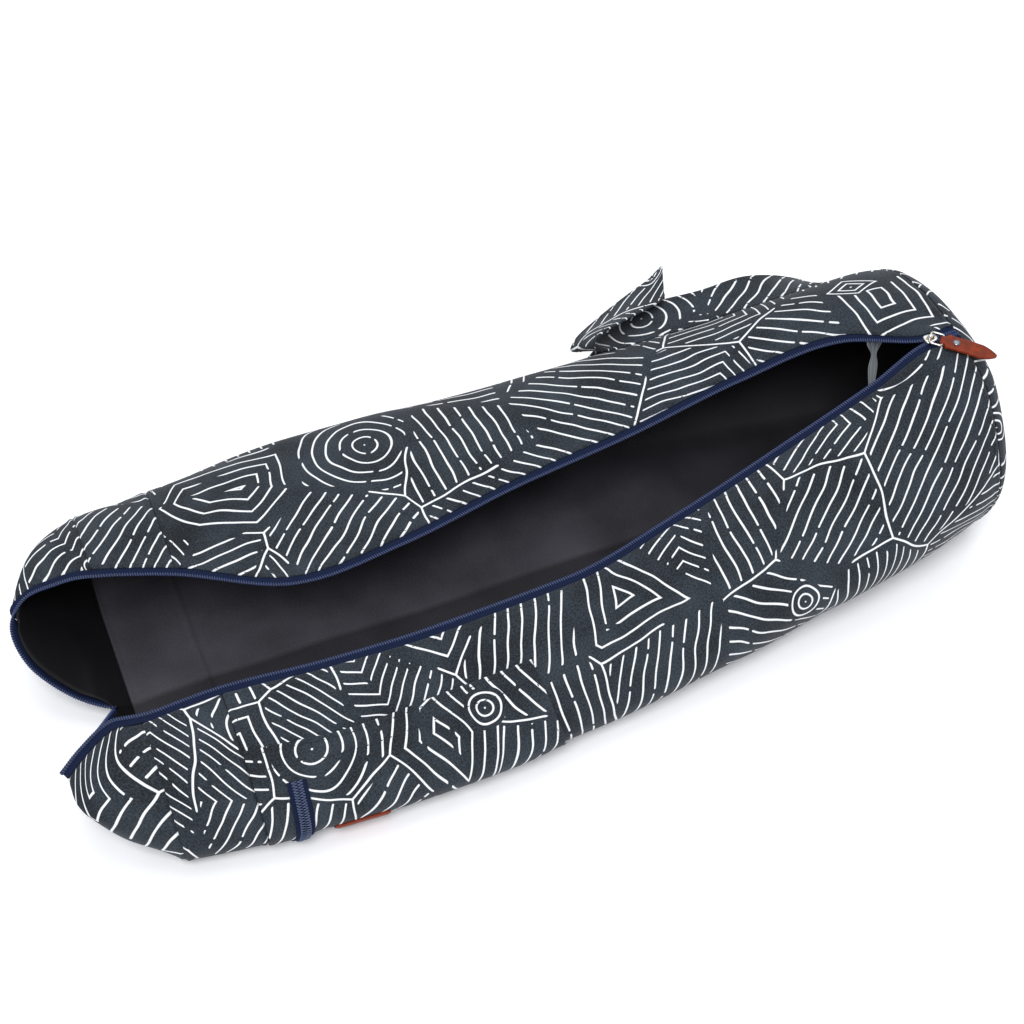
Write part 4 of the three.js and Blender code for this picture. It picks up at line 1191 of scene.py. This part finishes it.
class MATBAG_OT_outer_canvas(bpy.types.Operator):
    """Four pieces of printed canvas: body, band, the open end's two flaps and the closed end"""

    bl_idname = "matbag.outer_canvas"
    bl_label = "Outer canvas"

    def execute(self, context):
        trim = context.scene.mat_bag_trim
        canvas = finish_of("printed_canvas", context.scene.mat_bag_print)
        sewn = (trim.seam_dive, trim.seam_pad, trim.seam_pucker)
        gap = SEAM_HALF_GAP / BODY_LENGTH
        pieces = (
            ("body_cloth", BAND_SEAM + gap, 1 - gap, 236, "body_canvas", (0.0, 0.0)),
            ("band_cloth", gap, BAND_SEAM - gap, 40, "band_canvas", (0.43, 0.17)),
        )
        for name, start, end, rows, node, shift in pieces:
            at = graded(start, end, rows)
            points, normals, flat = on_body(at, column_rounds(at), 0.0)
            points = sew_edges(points, normals, ("start", "end"), *sewn)
            points = sew_edges(points, normals, ("left", "right"), 0.0006, 0.0005, 0.0)
            cloth_piece(name, [(points, flat + shift)], CANVAS, canvas, [node])
        points, normals, flat = flap_grid(46, 0.0)
        points = sew_edges(points, normals, ("start", "end"), *sewn)
        cloth_piece(
            "open_end_cloth", [(points, flat + (0.9, 0.35))], CANVAS, canvas,
            ["open_end_canvas"],
        )
        points, flat = end_grid(40, 0.0, column_rounds(np.array([1.0])))
        points[..., 0] += 0.0005
        cloth_piece(
            "closed_end_cloth", [(points, flat)], CANVAS, canvas, ["closed_end_canvas"],
            closed=True,
        )
        return {"FINISHED"}


class MATBAG_OT_lining(bpy.types.Operator):
    """Black lining of the body and both ends, in one sheet inside the canvas"""

    bl_idname = "matbag.lining"
    bl_label = "Lining"

    def execute(self, context):
        lining = finish_of("black_lining", context.scene.mat_bag_trim)
        depth = -CANVAS - LAYER_GAP
        free = COIL_RADIUS + 0.0012
        at = np.concatenate(
            [np.linspace(0, 0.12, 60), np.linspace(0.12, 0.97, 150)[1:], np.linspace(0.97, 1, 20)[1:]]
        )
        rounds = column_rounds(at, free)
        body, normals, flat = on_body(at, rounds, depth)
        u, v = flat[..., 0], flat[..., 1]
        seams = sum(bell(u, place * BODY_LENGTH, 0.0022) for place in (0, BAND_SEAM, 1))
        ridge = bell(v, LINING_SEAM + 0.003 * np.sin(u * 9), 0.0016) * np.clip((0.62 - u) / 0.25, 0, 1)
        slack = 0.0012 * np.sin(u * 40 + 3 * np.sin(v * 11)) * bell(v, -0.02, 0.09)
        edge = np.minimum(arcs(at, rounds), rounds_gap(at, rounds))
        body = body - normals * (
            (0.0013 * seams + 0.0018 * ridge + slack) * np.clip(edge / 0.03, 0, 1)
        )[..., None]
        ends, _, end_flat = flap_grid(30, depth, free)
        ends[-1] = body[0]
        cap, cap_flat = end_grid(24, depth, rounds[-1:])
        width = body.shape[1]
        cap[0, :width] = body[-1]
        cap = np.concatenate([cap, cap[:, :1]], axis=1)
        cap_flat = np.concatenate([cap_flat, cap_flat[:, :1]], axis=1)
        grids = [(body, flat), (ends, end_flat), (cap, cap_flat)]
        cloth_piece("inner_lining", grids, LINING, lining, ["lining"])
        return {"FINISHED"}


class MATBAG_OT_long_zip(bpy.types.Operator):
    """Both halves of the long zip: woven tape and a filament wound to a coil along its free edge"""

    bl_idname = "matbag.long_zip"
    bl_label = "Long zip"

    def execute(self, context):
        trim = context.scene.mat_bag_trim
        tape, coil = finish_of("navy_tape", trim), finish_of("navy_coil", trim)
        for far in (False, True):
            side_name = "far" if far else "near"
            line, edge, normal = zip_rows(far)
            shares = np.linspace(COIL_RADIUS * 0.4 / TAPE_REACH, 1.04, 9)
            across = (edge - line)[:, None] * shares[None, :, None]
            points = line[:, None] + across - normal[:, None] * TAPE_DEPTH
            walked = walk(line)
            uv = np.stack(np.broadcast_arrays(walked[:, None], shares[None] * TAPE_REACH), axis=-1)
            if np.mean(np.sum(grid_normals(points) * normal[:, None], axis=-1)) < 0:
                points, uv = points[:, ::-1], uv[:, ::-1]
            cloth_piece(
                side_name + "_tape", [(points, uv)], TAPE_THICK, tape, [side_name + "_zip_tape"]
            )
            centre = line + normal * COIL_HEIGHT
            place = np.linspace(0, walked[-1], int(walked[-1] / trim.coil_pitch * COIL_STEPS))
            lines = (centre, normal, unit(edge - line))
            path, tops, sides = [resampled(values, walked, place) for values in lines]
            along = unit(np.gradient(path, axis=0))
            sides = unit(sides - along * np.sum(sides * along, axis=1, keepdims=True))
            tops = np.cross(along, sides)
            wind = place / trim.coil_pitch * 2 * np.pi
            reach = COIL_RADIUS - trim.coil_wire
            helix = path + reach * (
                1.35 * np.cos(wind)[:, None] * sides + 0.86 * np.sin(wind)[:, None] * tops
            )
            wire = tube(helix, along, trim.coil_wire, 5)
            solid_piece(side_name + "_coil", [wire], coil, [side_name + "_zip_coil"])
            # The cord inside the coil is real, but its dark thread colour is also painted shade for the gaps
            # between the coil's turns.
            cord = flat_bar(path[::6], sides[::6], reach * 1.2, 0.00035)
            solid_piece(side_name + "_coil_cord", [cord], finish_of("thread", trim), [])
        return {"FINISHED"}


def short_zip(across, count):
    """Place on the body, as lengths and mark counts, of lines down the pocket's zip at distances from its
    middle. The zip leans, so its top lies further from the band's seam than its foot."""
    down = np.linspace(0, 1, count)
    middle = SIDE_ZIP_AT + SIDE_ZIP_LEAN * (0.6 - down)
    at = BAND_SEAM + (across[:, None] + middle) / BODY_LENGTH
    rounds = np.broadcast_to(SIDE_ZIP_TOP + (POCKET_ROUNDS[1] - SIDE_ZIP_TOP) * down, at.shape)
    return at.reshape(-1), rounds.reshape(-1, 1)


def hem_height(edge):
    """Height of the pocket's folded hem at a distance from its edge: the fold's 1.2 mm, which ends within 2
    mm past the lower row of stitches, a rim 0.7 mm higher at the edge, and a dip of 0.7 mm at each row."""
    fold = 0.0012 * np.clip((HEM_ROWS[1] + 0.002 - edge) / 0.002, 0, 1) + 0.0007 * bell(edge, 0, 0.002)
    return fold - 0.0007 * (bell(edge, HEM_ROWS[0], 0.0011) + bell(edge, HEM_ROWS[1], 0.0011))


class MATBAG_OT_pocket(bpy.types.Operator):
    """Patch pocket on the near wall with its short closed zip and the bare leather patch"""

    bl_idname = "matbag.pocket"
    bl_label = "Pocket"

    def execute(self, context):
        trim = context.scene.mat_bag_trim
        canvas = finish_of("printed_canvas", context.scene.mat_bag_print)
        along = graded(0, 1, 110, 0.2)
        down = graded(POCKET_ROUNDS[0], POCKET_ROUNDS[1], 56, 0.2)
        length = POCKET_LENGTH + POCKET_SLANT * (down - down[0]) / (down[-1] - down[0])
        at = BAND_SEAM + along[:, None] * length / BODY_LENGTH
        rounds = np.broadcast_to(down, at.shape)
        sheet = on_body(at.reshape(-1), rounds.reshape(-1, 1), LAYER_GAP + POCKET)
        points, normals, flat = [values.reshape(at.shape + (-1,)) for values in sheet]
        points = sew_edges(points, normals, ("end", "right"), 0.0006, 0.0004, 0.0003)
        hem = edge_distances(points, ("left",))
        points = points + normals * hem_height(hem)[..., None]
        cloth_piece(
            "pocket_cloth", [(points, flat + (1.7, 0.6))], POCKET, canvas, ["pocket_canvas"]
        )
        base = LAYER_GAP * 2 + POCKET
        tape = finish_of("navy_tape", trim)
        across = np.linspace(-1, 1, 18) * SIDE_ZIP_WIDTH * 0.56
        points, _, flat = on_body(*short_zip(across, 40), base + TAPE_THICK)
        points, flat = [values.reshape(18, 40, -1) for values in (points, flat)]
        cloth_piece("side_tape", [(points, flat)], TAPE_THICK, tape, ["side_zip_tape"])
        coil = finish_of("grey_coil", trim)
        wires = []
        for side in (-1, 1):
            lift = base + TAPE_THICK + SIDE_COIL_RADIUS
            path, tops, _ = [
                values[:, 0] for values in on_body(*short_zip(np.array([side * SIDE_COIL_APART]), 900), lift)
            ]
            walked = walk(path)
            wind = side * walked / SIDE_COIL_PITCH * 2 * np.pi
            run, across, up = frames_along(path, tops)
            ring = SIDE_COIL_RADIUS - 0.0003
            helix = path + ring * (3.2 * np.cos(wind)[:, None] * across + 0.8 * np.sin(wind)[:, None] * up)
            wires.append(tube(helix, run, 0.00036, 5))
        solid_piece("side_coil", wires, coil, ["side_zip_coil"])
        leather = finish_of("tan_leather", trim)
        at = BAND_SEAM + (PATCH_AT + PATCH_WIDTH * np.linspace(-0.5, 0.5, 50)) / BODY_LENGTH
        rounds = np.broadcast_to(np.linspace(*PATCH_ROUNDS, 40), (50, 40))
        points, normals, flat = on_body(at, rounds, base + PATCH_THICK)
        points = sew_edges(points, normals, ("start", "end", "left", "right"), 0.0007, 0.0, 0.0)
        cloth_piece(
            "leather_patch_sheet", [(points, flat)], PATCH_THICK - 0.0002, leather,
            ["leather_patch"],
        )
        return {"FINISHED"}


class MATBAG_OT_strap(bpy.types.Operator):
    """Shoulder strap of doubled canvas, with its fold, its standing peak and its run behind the bag"""

    bl_idname = "matbag.strap"
    bl_label = "Shoulder strap"

    def execute(self, context):
        canvas = finish_of("printed_canvas", context.scene.mat_bag_print)
        points, uv = strap_rings(420)
        mesh = bpy.data.meshes.new("strap_cloth")
        rings = capped(points, points.mean(axis=1))
        uv = np.concatenate([uv[:1], uv, uv[-1:]])
        fill_mesh(mesh, rings, uv, closed=True)
        weld(mesh)
        new_piece("strap_cloth", mesh, canvas, ["shoulder_strap"])
        return {"FINISHED"}


def nearest_skin(points):
    """The nearest point of each section's far side to points (n, 3), and the skin's normal there."""
    at = np.clip((points[:, 0] - ORIGIN[0]) / BODY_LENGTH, 0, 1)
    rounds = np.broadcast_to(np.linspace(5, LAST_MARK - 0.1, 400), (len(at), 400))
    skin, normals, _ = on_body(at, rounds, 0.0)
    nearest = np.argmin(np.linalg.norm(skin - points[:, None], axis=-1), axis=1)
    rows = np.arange(len(at))
    return skin[rows, nearest], normals[rows, nearest]


def strap_lines(count):
    """The strap's two edges and its face normal, at evenly counted rows. Its low edge is sewn to the skin
    from the slider's end to the fold."""
    scale = np.array([BODY_LENGTH, BODY_DIAMETER, BODY_DIAMETER])
    t = np.linspace(0, len(STRAP_LOW) - 1, count)
    low, high = [smooth_curve(edge * scale, t) + ORIGIN for edge in (STRAP_LOW, STRAP_HIGH)]
    skin, normals = nearest_skin(low)
    sewn = np.clip((7.6 - t) / 1.4, 0, 1)[:, None]
    low = low + (skin - normals * 0.0006 - low) * sewn
    along = unit(unit(np.gradient(low, axis=0)) + unit(np.gradient(high, axis=0)))
    face = unit(np.cross(high - low, along))
    return low, high, face


def strap_rings(count):
    """Flat profile with round edges carried between the strap's edges (count, columns, 3), and its flat cloth
    place. Its faces are pressed in a little along the edge stitching, 4 mm from each edge."""
    low, high, face = strap_lines(count)
    width = np.linalg.norm(high - low, axis=1)
    across = (high - low) / width[:, None]
    middle = (low + high) / 2 + face * STRAP_THICK / 2
    radius = STRAP_THICK / 2
    flat_part = np.linspace(-1, 1, 19)
    turn = np.linspace(-np.pi / 2, np.pi / 2, 7)[1:-1]
    half = width[:, None] / 2 - radius
    x = np.concatenate(
        [flat_part * half, half + radius * np.cos(turn), -flat_part * half, -half - radius * np.cos(turn)],
        axis=1,
    )
    rise = np.concatenate([np.full(19, -1.0), np.sin(turn), np.full(19, 1.0), -np.sin(turn)]) * radius
    groove = 1 - 0.22 * bell(np.abs(x), width[:, None] / 2 - EDGE_STITCH, 0.0012)
    points = middle[:, None] + across[:, None] * x[..., None] + face[:, None] * (rise * groove)[..., None]
    walked = walk(middle)
    uv = np.stack(np.broadcast_arrays(walked[:, None] + 2.4, x + 0.9), axis=-1)
    return points, uv


class MATBAG_OT_slider(bpy.types.Operator):
    """Zip slider with two plates, a post and an arched bridge, and the ring that hangs in it"""

    bl_idname = "matbag.slider"
    bl_label = "Slider and ring"

    def execute(self, context):
        metal = finish_of("bright_metal", context.scene.mat_bag_trim)
        seat = slider_seat()
        upper = COIL_HEIGHT + PLATE_GAP + PLATE_THICK / 2
        lower = COIL_HEIGHT - PLATE_GAP - PLATE_THICK / 2
        plates = [seat + plate_grid() + (0, 0, z) for z in (upper, lower)]
        post_height = PLATE_GAP + PLATE_THICK
        t = np.linspace(-1, 1, 9)
        post_path = seat + np.stack([np.full(9, -0.0044), np.zeros(9), COIL_HEIGHT + t * post_height], axis=1)
        post = tube(post_path, np.array([1.0, 0, 0]), 0.0008, 14)
        turn = np.linspace(0, np.pi, 28)
        top = upper + PLATE_THICK / 2
        arch = seat + np.stack(
            [-np.cos(turn) * 0.0031, np.zeros(28), top - 0.0003 + np.sin(turn) ** 0.8 * 0.0032], axis=1
        )
        bridge = flat_bar(arch, np.array([0, 1.0, 0]), 0.0012, 0.00045)
        solid_piece("slider_body", plates + [post, bridge], metal, ["zip_slider"])
        path = ring_path()
        _, _, up = frames_along(path, pull_turn(np.array([[0, 0, 1.0]]))[0], closed=True)
        ring = tube(path, up[0], RING_WIRE, 12, closed=True)
        solid_piece("slider_ring", [ring], metal, ["pull_ring"])
        return {"FINISHED"}


def slider_seat():
    lips = body_face(np.array([SLIDER_AT]), np.array([[0.0, LAST_MARK]]))[0]
    return lips.mean(axis=0)


def plate_grid():
    """A slider plate about its own middle, closed round: rings whose outline is a rounded shield, |x / 5.5|^3
    + |y / w|^3 = 1 with w wider at the mouth's end, and whose rim is round."""
    turn = np.linspace(0, 2 * np.pi, 40, endpoint=False)
    c, s = np.cos(turn), np.sin(turn)
    x = squared(c, 0.62) * PLATE_LENGTH / 2
    y = squared(s, 0.62) * PLATE_WIDTH / 2 * (1 - 0.16 * x / (PLATE_LENGTH / 2))
    outline = np.stack([x, y, np.zeros(40)], axis=1)
    shrink = np.array([0, 0.55, 0.88, 0.97, 1, 0.97, 0.88, 0.55, 0])
    height = np.array([-1, -1, -0.9, -0.5, 0, 0.5, 0.9, 1, 1]) * PLATE_THICK / 2
    rings = outline[None] * shrink[:, None, None]
    rings[..., 2] = height[:, None]
    return rings


def flat_bar(path, across, half_width, half_height):
    """A flat profile with round corners, (|a| / w)^4 + (|b| / h)^4 = 1, carried along a path with closed
    ends."""
    along = unit(np.gradient(path, axis=0))
    side = np.broadcast_to(across, path.shape)
    up = np.cross(along, side)
    turn = np.linspace(0, 2 * np.pi, 20, endpoint=False)
    a = squared(np.cos(turn), 0.5) * half_width
    b = squared(np.sin(turn), 0.5) * half_height
    rings = path[:, None] + a[None, :, None] * side[:, None] + b[None, :, None] * up[:, None]
    return capped(rings, path)


def pull_turn(points):
    """Turns points of the pull by its drop about Y, then its turn about Z."""
    cy, sy, cz, sz = math.cos(TAB_DROP), math.sin(TAB_DROP), math.cos(TAB_TURN), math.sin(TAB_TURN)
    drop = np.array([[cy, 0, sy], [0, 1, 0], [-sy, 0, cy]])
    turn = np.array([[cz, -sz, 0], [sz, cz, 0], [0, 0, 1]])
    return points @ (turn @ drop).T


def pull_place(points):
    """Points of the pull (.., 3), whose x runs from the slider's eye along the ring and the leather, in the
    row."""
    rise = COIL_HEIGHT + PLATE_GAP + PLATE_THICK + EYE_HEIGHT / 2
    return pull_turn(points) + slider_seat() + (-0.0006, 0, rise)


def ring_path():
    """Rounded rectangle of wire through the slider's eye, corner by corner."""
    half = RING_WIDTH / 2
    x, y = [RING_LENGTH - RING_CORNER, RING_CORNER], half - RING_CORNER
    corners = np.array([[x[0], y], [x[1], y], [x[1], -y], [x[0], -y]])
    turn = (np.pi / 2) * (np.arange(4)[:, None] + np.linspace(0, 1, 9)[None])
    x = corners[:, :1] + RING_CORNER * np.cos(turn)
    y = corners[:, 1:] + RING_CORNER * np.sin(turn)
    path = np.stack([x, y, np.zeros_like(x)], axis=-1).reshape(-1, 3)
    return pull_place(path)


class MATBAG_OT_pull(bpy.types.Operator):
    """Leather pull folded round the ring, with its rivet"""

    bl_idname = "matbag.pull"
    bl_label = "Leather pull"

    def execute(self, context):
        trim = context.scene.mat_bag_trim
        leather = finish_of("tan_leather", trim)
        x = np.concatenate([np.linspace(-TAB_FOLD, TAB_FOLD, 14), np.linspace(TAB_FOLD, TAB_LENGTH, 70)[1:]])
        neck = RING_WIDTH / 2 - RING_CORNER + 0.0005
        half = TAB_WIDTH / 2
        widen = np.clip((x - 0.6 * TAB_FOLD) / (0.5 * TAB_FOLD), 0, 1)
        tip = np.clip((x / TAB_LENGTH - TIP_FROM) / (1 - TIP_FROM), 0, 1)
        width = (neck + (half - neck) * widen * widen * (3 - 2 * widen)) * np.maximum(1 - tip**1.5, 0) ** 0.8
        fold = np.clip((x + TAB_FOLD) / TAB_FOLD, 0, 1)
        thick = TAB_THICK / 2 * np.sqrt(np.maximum(1 - (1 - fold) ** 2, 0.02))
        pressed = 1 - 0.14 * bell(x, TAB_LENGTH * RIVET_AT, 0.004)
        turn = np.linspace(0, 2 * np.pi, 36, endpoint=False)
        a = squared(np.cos(turn), 0.22)
        b = squared(np.sin(turn), 0.34)
        wave = 0.0004 * np.sin(x / TAB_LENGTH * np.pi * 1.6)
        rings = np.stack(
            np.broadcast_arrays(
                x[:, None] + RING_LENGTH, a * width[:, None], b * (thick * pressed)[:, None] + wave[:, None]
            ),
            axis=-1,
        )
        rings = capped(rings, rings.mean(axis=1))[:, ::-1]
        solid_piece("leather_pull", [pull_place(rings)], leather, ["pull_tab"])
        metal = finish_of("dark_metal", trim)
        reach = TAB_THICK / 2 + 0.0003
        radius, side, rise = RIVET_PROFILE.T[..., None]
        turn = np.linspace(0, 2 * np.pi, 28, endpoint=False)
        x, y = [radius * RIVET_RADIUS * wave(turn) for wave in (np.cos, np.sin)]
        x = x + RING_LENGTH + TAB_LENGTH * RIVET_AT
        rings = np.stack(np.broadcast_arrays(x, y, side * (reach + rise)), axis=-1)
        solid_piece("rivet", [pull_place(rings)], metal, ["pull_rivet"])
        return {"FINISHED"}


class MATBAG_OT_ribbon(bpy.types.Operator):
    """Sheer grey ribbon that hangs inside from the far edge of the mouth, gathered at its top"""

    bl_idname = "matbag.ribbon"
    bl_label = "Inner ribbon"

    def execute(self, context):
        ribbon = finish_of("grey_tag", context.scene.mat_bag_trim)
        at = np.array([TAG_AT])
        edge = rounds_at(at, TAPE_REACH + TAG_INSET, True)
        depth = CANVAS + LAYER_GAP + LINING + TAG_DROP
        top = (body_face(at, edge) - body_normal(at, edge) * depth)[0, 0]
        share = np.linspace(0, 1, 60)
        knots = np.array([0, 0.13, 0.33, 0.55, 0.8, 1.0])
        widths = np.array(
            [TAG_TOP_WIDTH * 1.15, TAG_TOP_WIDTH, TAG_WIDTH * 0.75, TAG_WIDTH * 1.2, TAG_WIDTH, 0.004]
        )
        half = through(knots, widths, share) / 2
        middle = top + np.stack([0.003 * share, -0.005 * share**2, -TAG_LENGTH * share], axis=1)
        across = np.linspace(-1, 1, 33)
        pleat = 0.0009 * np.sin(across * np.pi * 3)[None] * (0.25 + 0.75 * np.exp(-share / 0.2))[:, None]
        points = middle[:, None] + np.stack(
            np.broadcast_arrays(half[:, None] * across, -0.0005 + pleat, 0.0), axis=-1
        )
        uv = np.stack(np.broadcast_arrays(share[:, None] * TAG_LENGTH, across[None] * TAG_WIDTH / 2), axis=-1)
        cloth_piece("sheer_ribbon", [(points[::-1], uv[::-1])], 0.0004, ribbon, ["inner_tag"])
        return {"FINISHED"}


class MATBAG_OT_stitching(bpy.types.Operator):
    """Rows of thread beside the zip, at the seams, round the pocket and along the strap"""

    bl_idname = "matbag.stitching"
    bl_label = "Stitching"

    def execute(self, context):
        trim = context.scene.mat_bag_trim
        colour = finish_of("thread", trim)
        shape, faces = stitch_shape()
        rows = []
        for far in (False, True):
            for start, end, count in ((BAND_SEAM + 0.004, 0.985, 500), (0.002, BAND_SEAM - 0.004, 60)):
                at = np.linspace(start, end, count)
                path, tops, _ = on_body(at, rounds_at(at, TAPE_REACH + ZIP_STITCH, far), STITCH_LIFT)
                rows.append((path[:, 0], tops[:, 0]))
        for place in (BAND_SEAM + BAND_STITCH / BODY_LENGTH, 1 - EDGE_STITCH / BODY_LENGTH):
            at = np.array([place])
            start, end = [rounds_at(at, TAPE_REACH + EDGE_STITCH, far)[0, 0] for far in (False, True)]
            sheet = on_body(at, np.linspace(start, end, 500)[None], STITCH_LIFT)
            path, tops, _ = [values[0] for values in sheet]
            rows.append((path, tops))
        repeat_shape("seam_stitches", shape, faces, stitch_places(rows, trim), colour)
        rows = []
        for down in HEM_ROWS:
            lift = LAYER_GAP + POCKET + 0.0002 + hem_height(down)
            at = np.linspace(BAND_SEAM + 0.003, BAND_SEAM + (POCKET_LENGTH - 0.004) / BODY_LENGTH, 240)
            top = arcs(at, POCKET_ROUNDS[0])
            path, tops, _ = on_body(at, rounds_at(at, top + down), lift)
            rows.append((path[:, 0], tops[:, 0]))
        lift = LAYER_GAP + POCKET + 0.0003
        down = np.linspace(POCKET_ROUNDS[0] + 0.05, POCKET_ROUNDS[1] - 0.03, 60)
        slant = POCKET_SLANT * (down - POCKET_ROUNDS[0]) / (POCKET_ROUNDS[1] - POCKET_ROUNDS[0])
        at = BAND_SEAM + (POCKET_LENGTH + slant - HEM_ROWS[0]) / BODY_LENGTH
        path, tops, _ = [values[:, 0] for values in on_body(at, down[:, None], lift)]
        rows.append((path, tops))
        repeat_shape("pocket_stitches", shape, faces, stitch_places(rows, trim), colour)
        low, high, face = strap_lines(700)
        across = unit(high - low)
        rows = []
        for edge, way in ((low, EDGE_STITCH), (high, -EDGE_STITCH)):
            for side in (1, -1):
                surface = STRAP_THICK / 2 + side * (STRAP_THICK / 2 + 0.00005)
                rows.append((edge + across * way + face * surface, face * side))
        repeat_shape("strap_stitches", shape, faces, stitch_places(rows, trim), colour)
        return {"FINISHED"}


class MATBAG_OT_stage(bpy.types.Operator):
    """Pale floor, soft lights and the camera at the photographed angle"""

    bl_idname = "matbag.stage"
    bl_label = "Stage"

    def execute(self, context):
        studio = context.scene.mat_bag_studio
        mesh = bpy.data.meshes.new("floor")
        corners = [(x * FLOOR_REACH, y * FLOOR_REACH, 0) for x, y in ((-1, -1), (1, -1), (1, 1), (-1, 1))]
        mesh.from_pydata(corners, [], [(0, 1, 2, 3)])
        floor = bpy.data.objects.new("floor", mesh)
        context.scene.collection.objects.link(floor)
        mesh.materials.append(finish_of("floor", studio))
        lights = (
            ("key_light", (-0.25, -0.42, 1.0), 32, studio.key_strength),
            ("fill_light", (0.35, 0.5, 1.0), 60, studio.fill_strength),
        )
        for name, way, width, strength in lights:
            data = bpy.data.lights.new(name, "SUN")
            data.angle = math.radians(width)
            data.energy = strength
            light = bpy.data.objects.new(name, data)
            light.location = way
            light.rotation_euler = (-Vector(way)).to_track_quat("-Z", "Y").to_euler()
            context.scene.collection.objects.link(light)
        world = bpy.data.worlds.new("studio")
        world.use_nodes = True
        tree = world.node_tree
        tree.nodes.clear()
        seen = add_node(tree, "LightPath").outputs["Is Camera Ray"]
        glow = tuple(studio.sky * k for k in studio.sky_colour) + (1.0,)
        white = (1.0, 1.0, 1.0, 1.0)
        glow = add_node(tree, "Mix", {0: seen, 6: glow, 7: white}, data_type="RGBA").outputs[2]
        back = add_node(tree, "Background", {"Color": glow})
        add_node(tree, "OutputWorld", {"Surface": back})
        context.scene.world = world
        level = math.cos(CAMERA_TILT)
        look = Vector((math.sin(CAMERA_TURN) * level, math.cos(CAMERA_TURN) * level, -math.sin(CAMERA_TILT)))
        data = bpy.data.cameras.new("camera")
        data.lens = CAMERA_LENS
        data.sensor_width = 36
        data.clip_end = 100
        camera = bpy.data.objects.new("camera", data)
        camera.location = Vector(ORIGIN + CAMERA_AIM) - look * CAMERA_DISTANCE
        camera.rotation_euler = look.to_track_quat("-Z", "Y").to_euler()
        context.scene.collection.objects.link(camera)
        context.scene.camera = camera
        context.scene.view_settings.view_transform = "Standard"
        return {"FINISHED"}


class MATBAG_PT_builder(bpy.types.Panel):
    """Builds the bag piece by piece"""

    bl_label = "Mat bag"
    bl_idname = "MATBAG_PT_builder"
    bl_space_type = "VIEW_3D"
    bl_region_type = "UI"
    bl_category = "Mat bag"

    def draw(self, context):
        for group in ("mat_bag_print", "mat_bag_trim", "mat_bag_studio"):
            values = getattr(context.scene, group)
            for key in values.__annotations__:
                self.layout.prop(values, key)
        for operator in OPERATORS:
            self.layout.operator(operator.bl_idname)


OPERATORS = (
    MATBAG_OT_outer_canvas,
    MATBAG_OT_lining,
    MATBAG_OT_long_zip,
    MATBAG_OT_pocket,
    MATBAG_OT_strap,
    MATBAG_OT_slider,
    MATBAG_OT_pull,
    MATBAG_OT_ribbon,
    MATBAG_OT_stitching,
    MATBAG_OT_stage,
)
CLASSES = (MatBagPrint, MatBagTrim, MatBagStudio) + OPERATORS + (MATBAG_PT_builder,)


def register():
    for each in CLASSES:
        bpy.utils.register_class(each)
    bpy.types.Scene.mat_bag_print = bpy.props.PointerProperty(type=MatBagPrint)
    bpy.types.Scene.mat_bag_trim = bpy.props.PointerProperty(type=MatBagTrim)
    bpy.types.Scene.mat_bag_studio = bpy.props.PointerProperty(type=MatBagStudio)


def unregister():
    for name in ("mat_bag_print", "mat_bag_trim", "mat_bag_studio"):
        delattr(bpy.types.Scene, name)
    for each in reversed(CLASSES):
        bpy.utils.unregister_class(each)


def main():
    register()
    for operator in OPERATORS:
        group, name = operator.bl_idname.split(".")
        getattr(getattr(bpy.ops, group), name)()


if __name__ == "__main__":
    main()
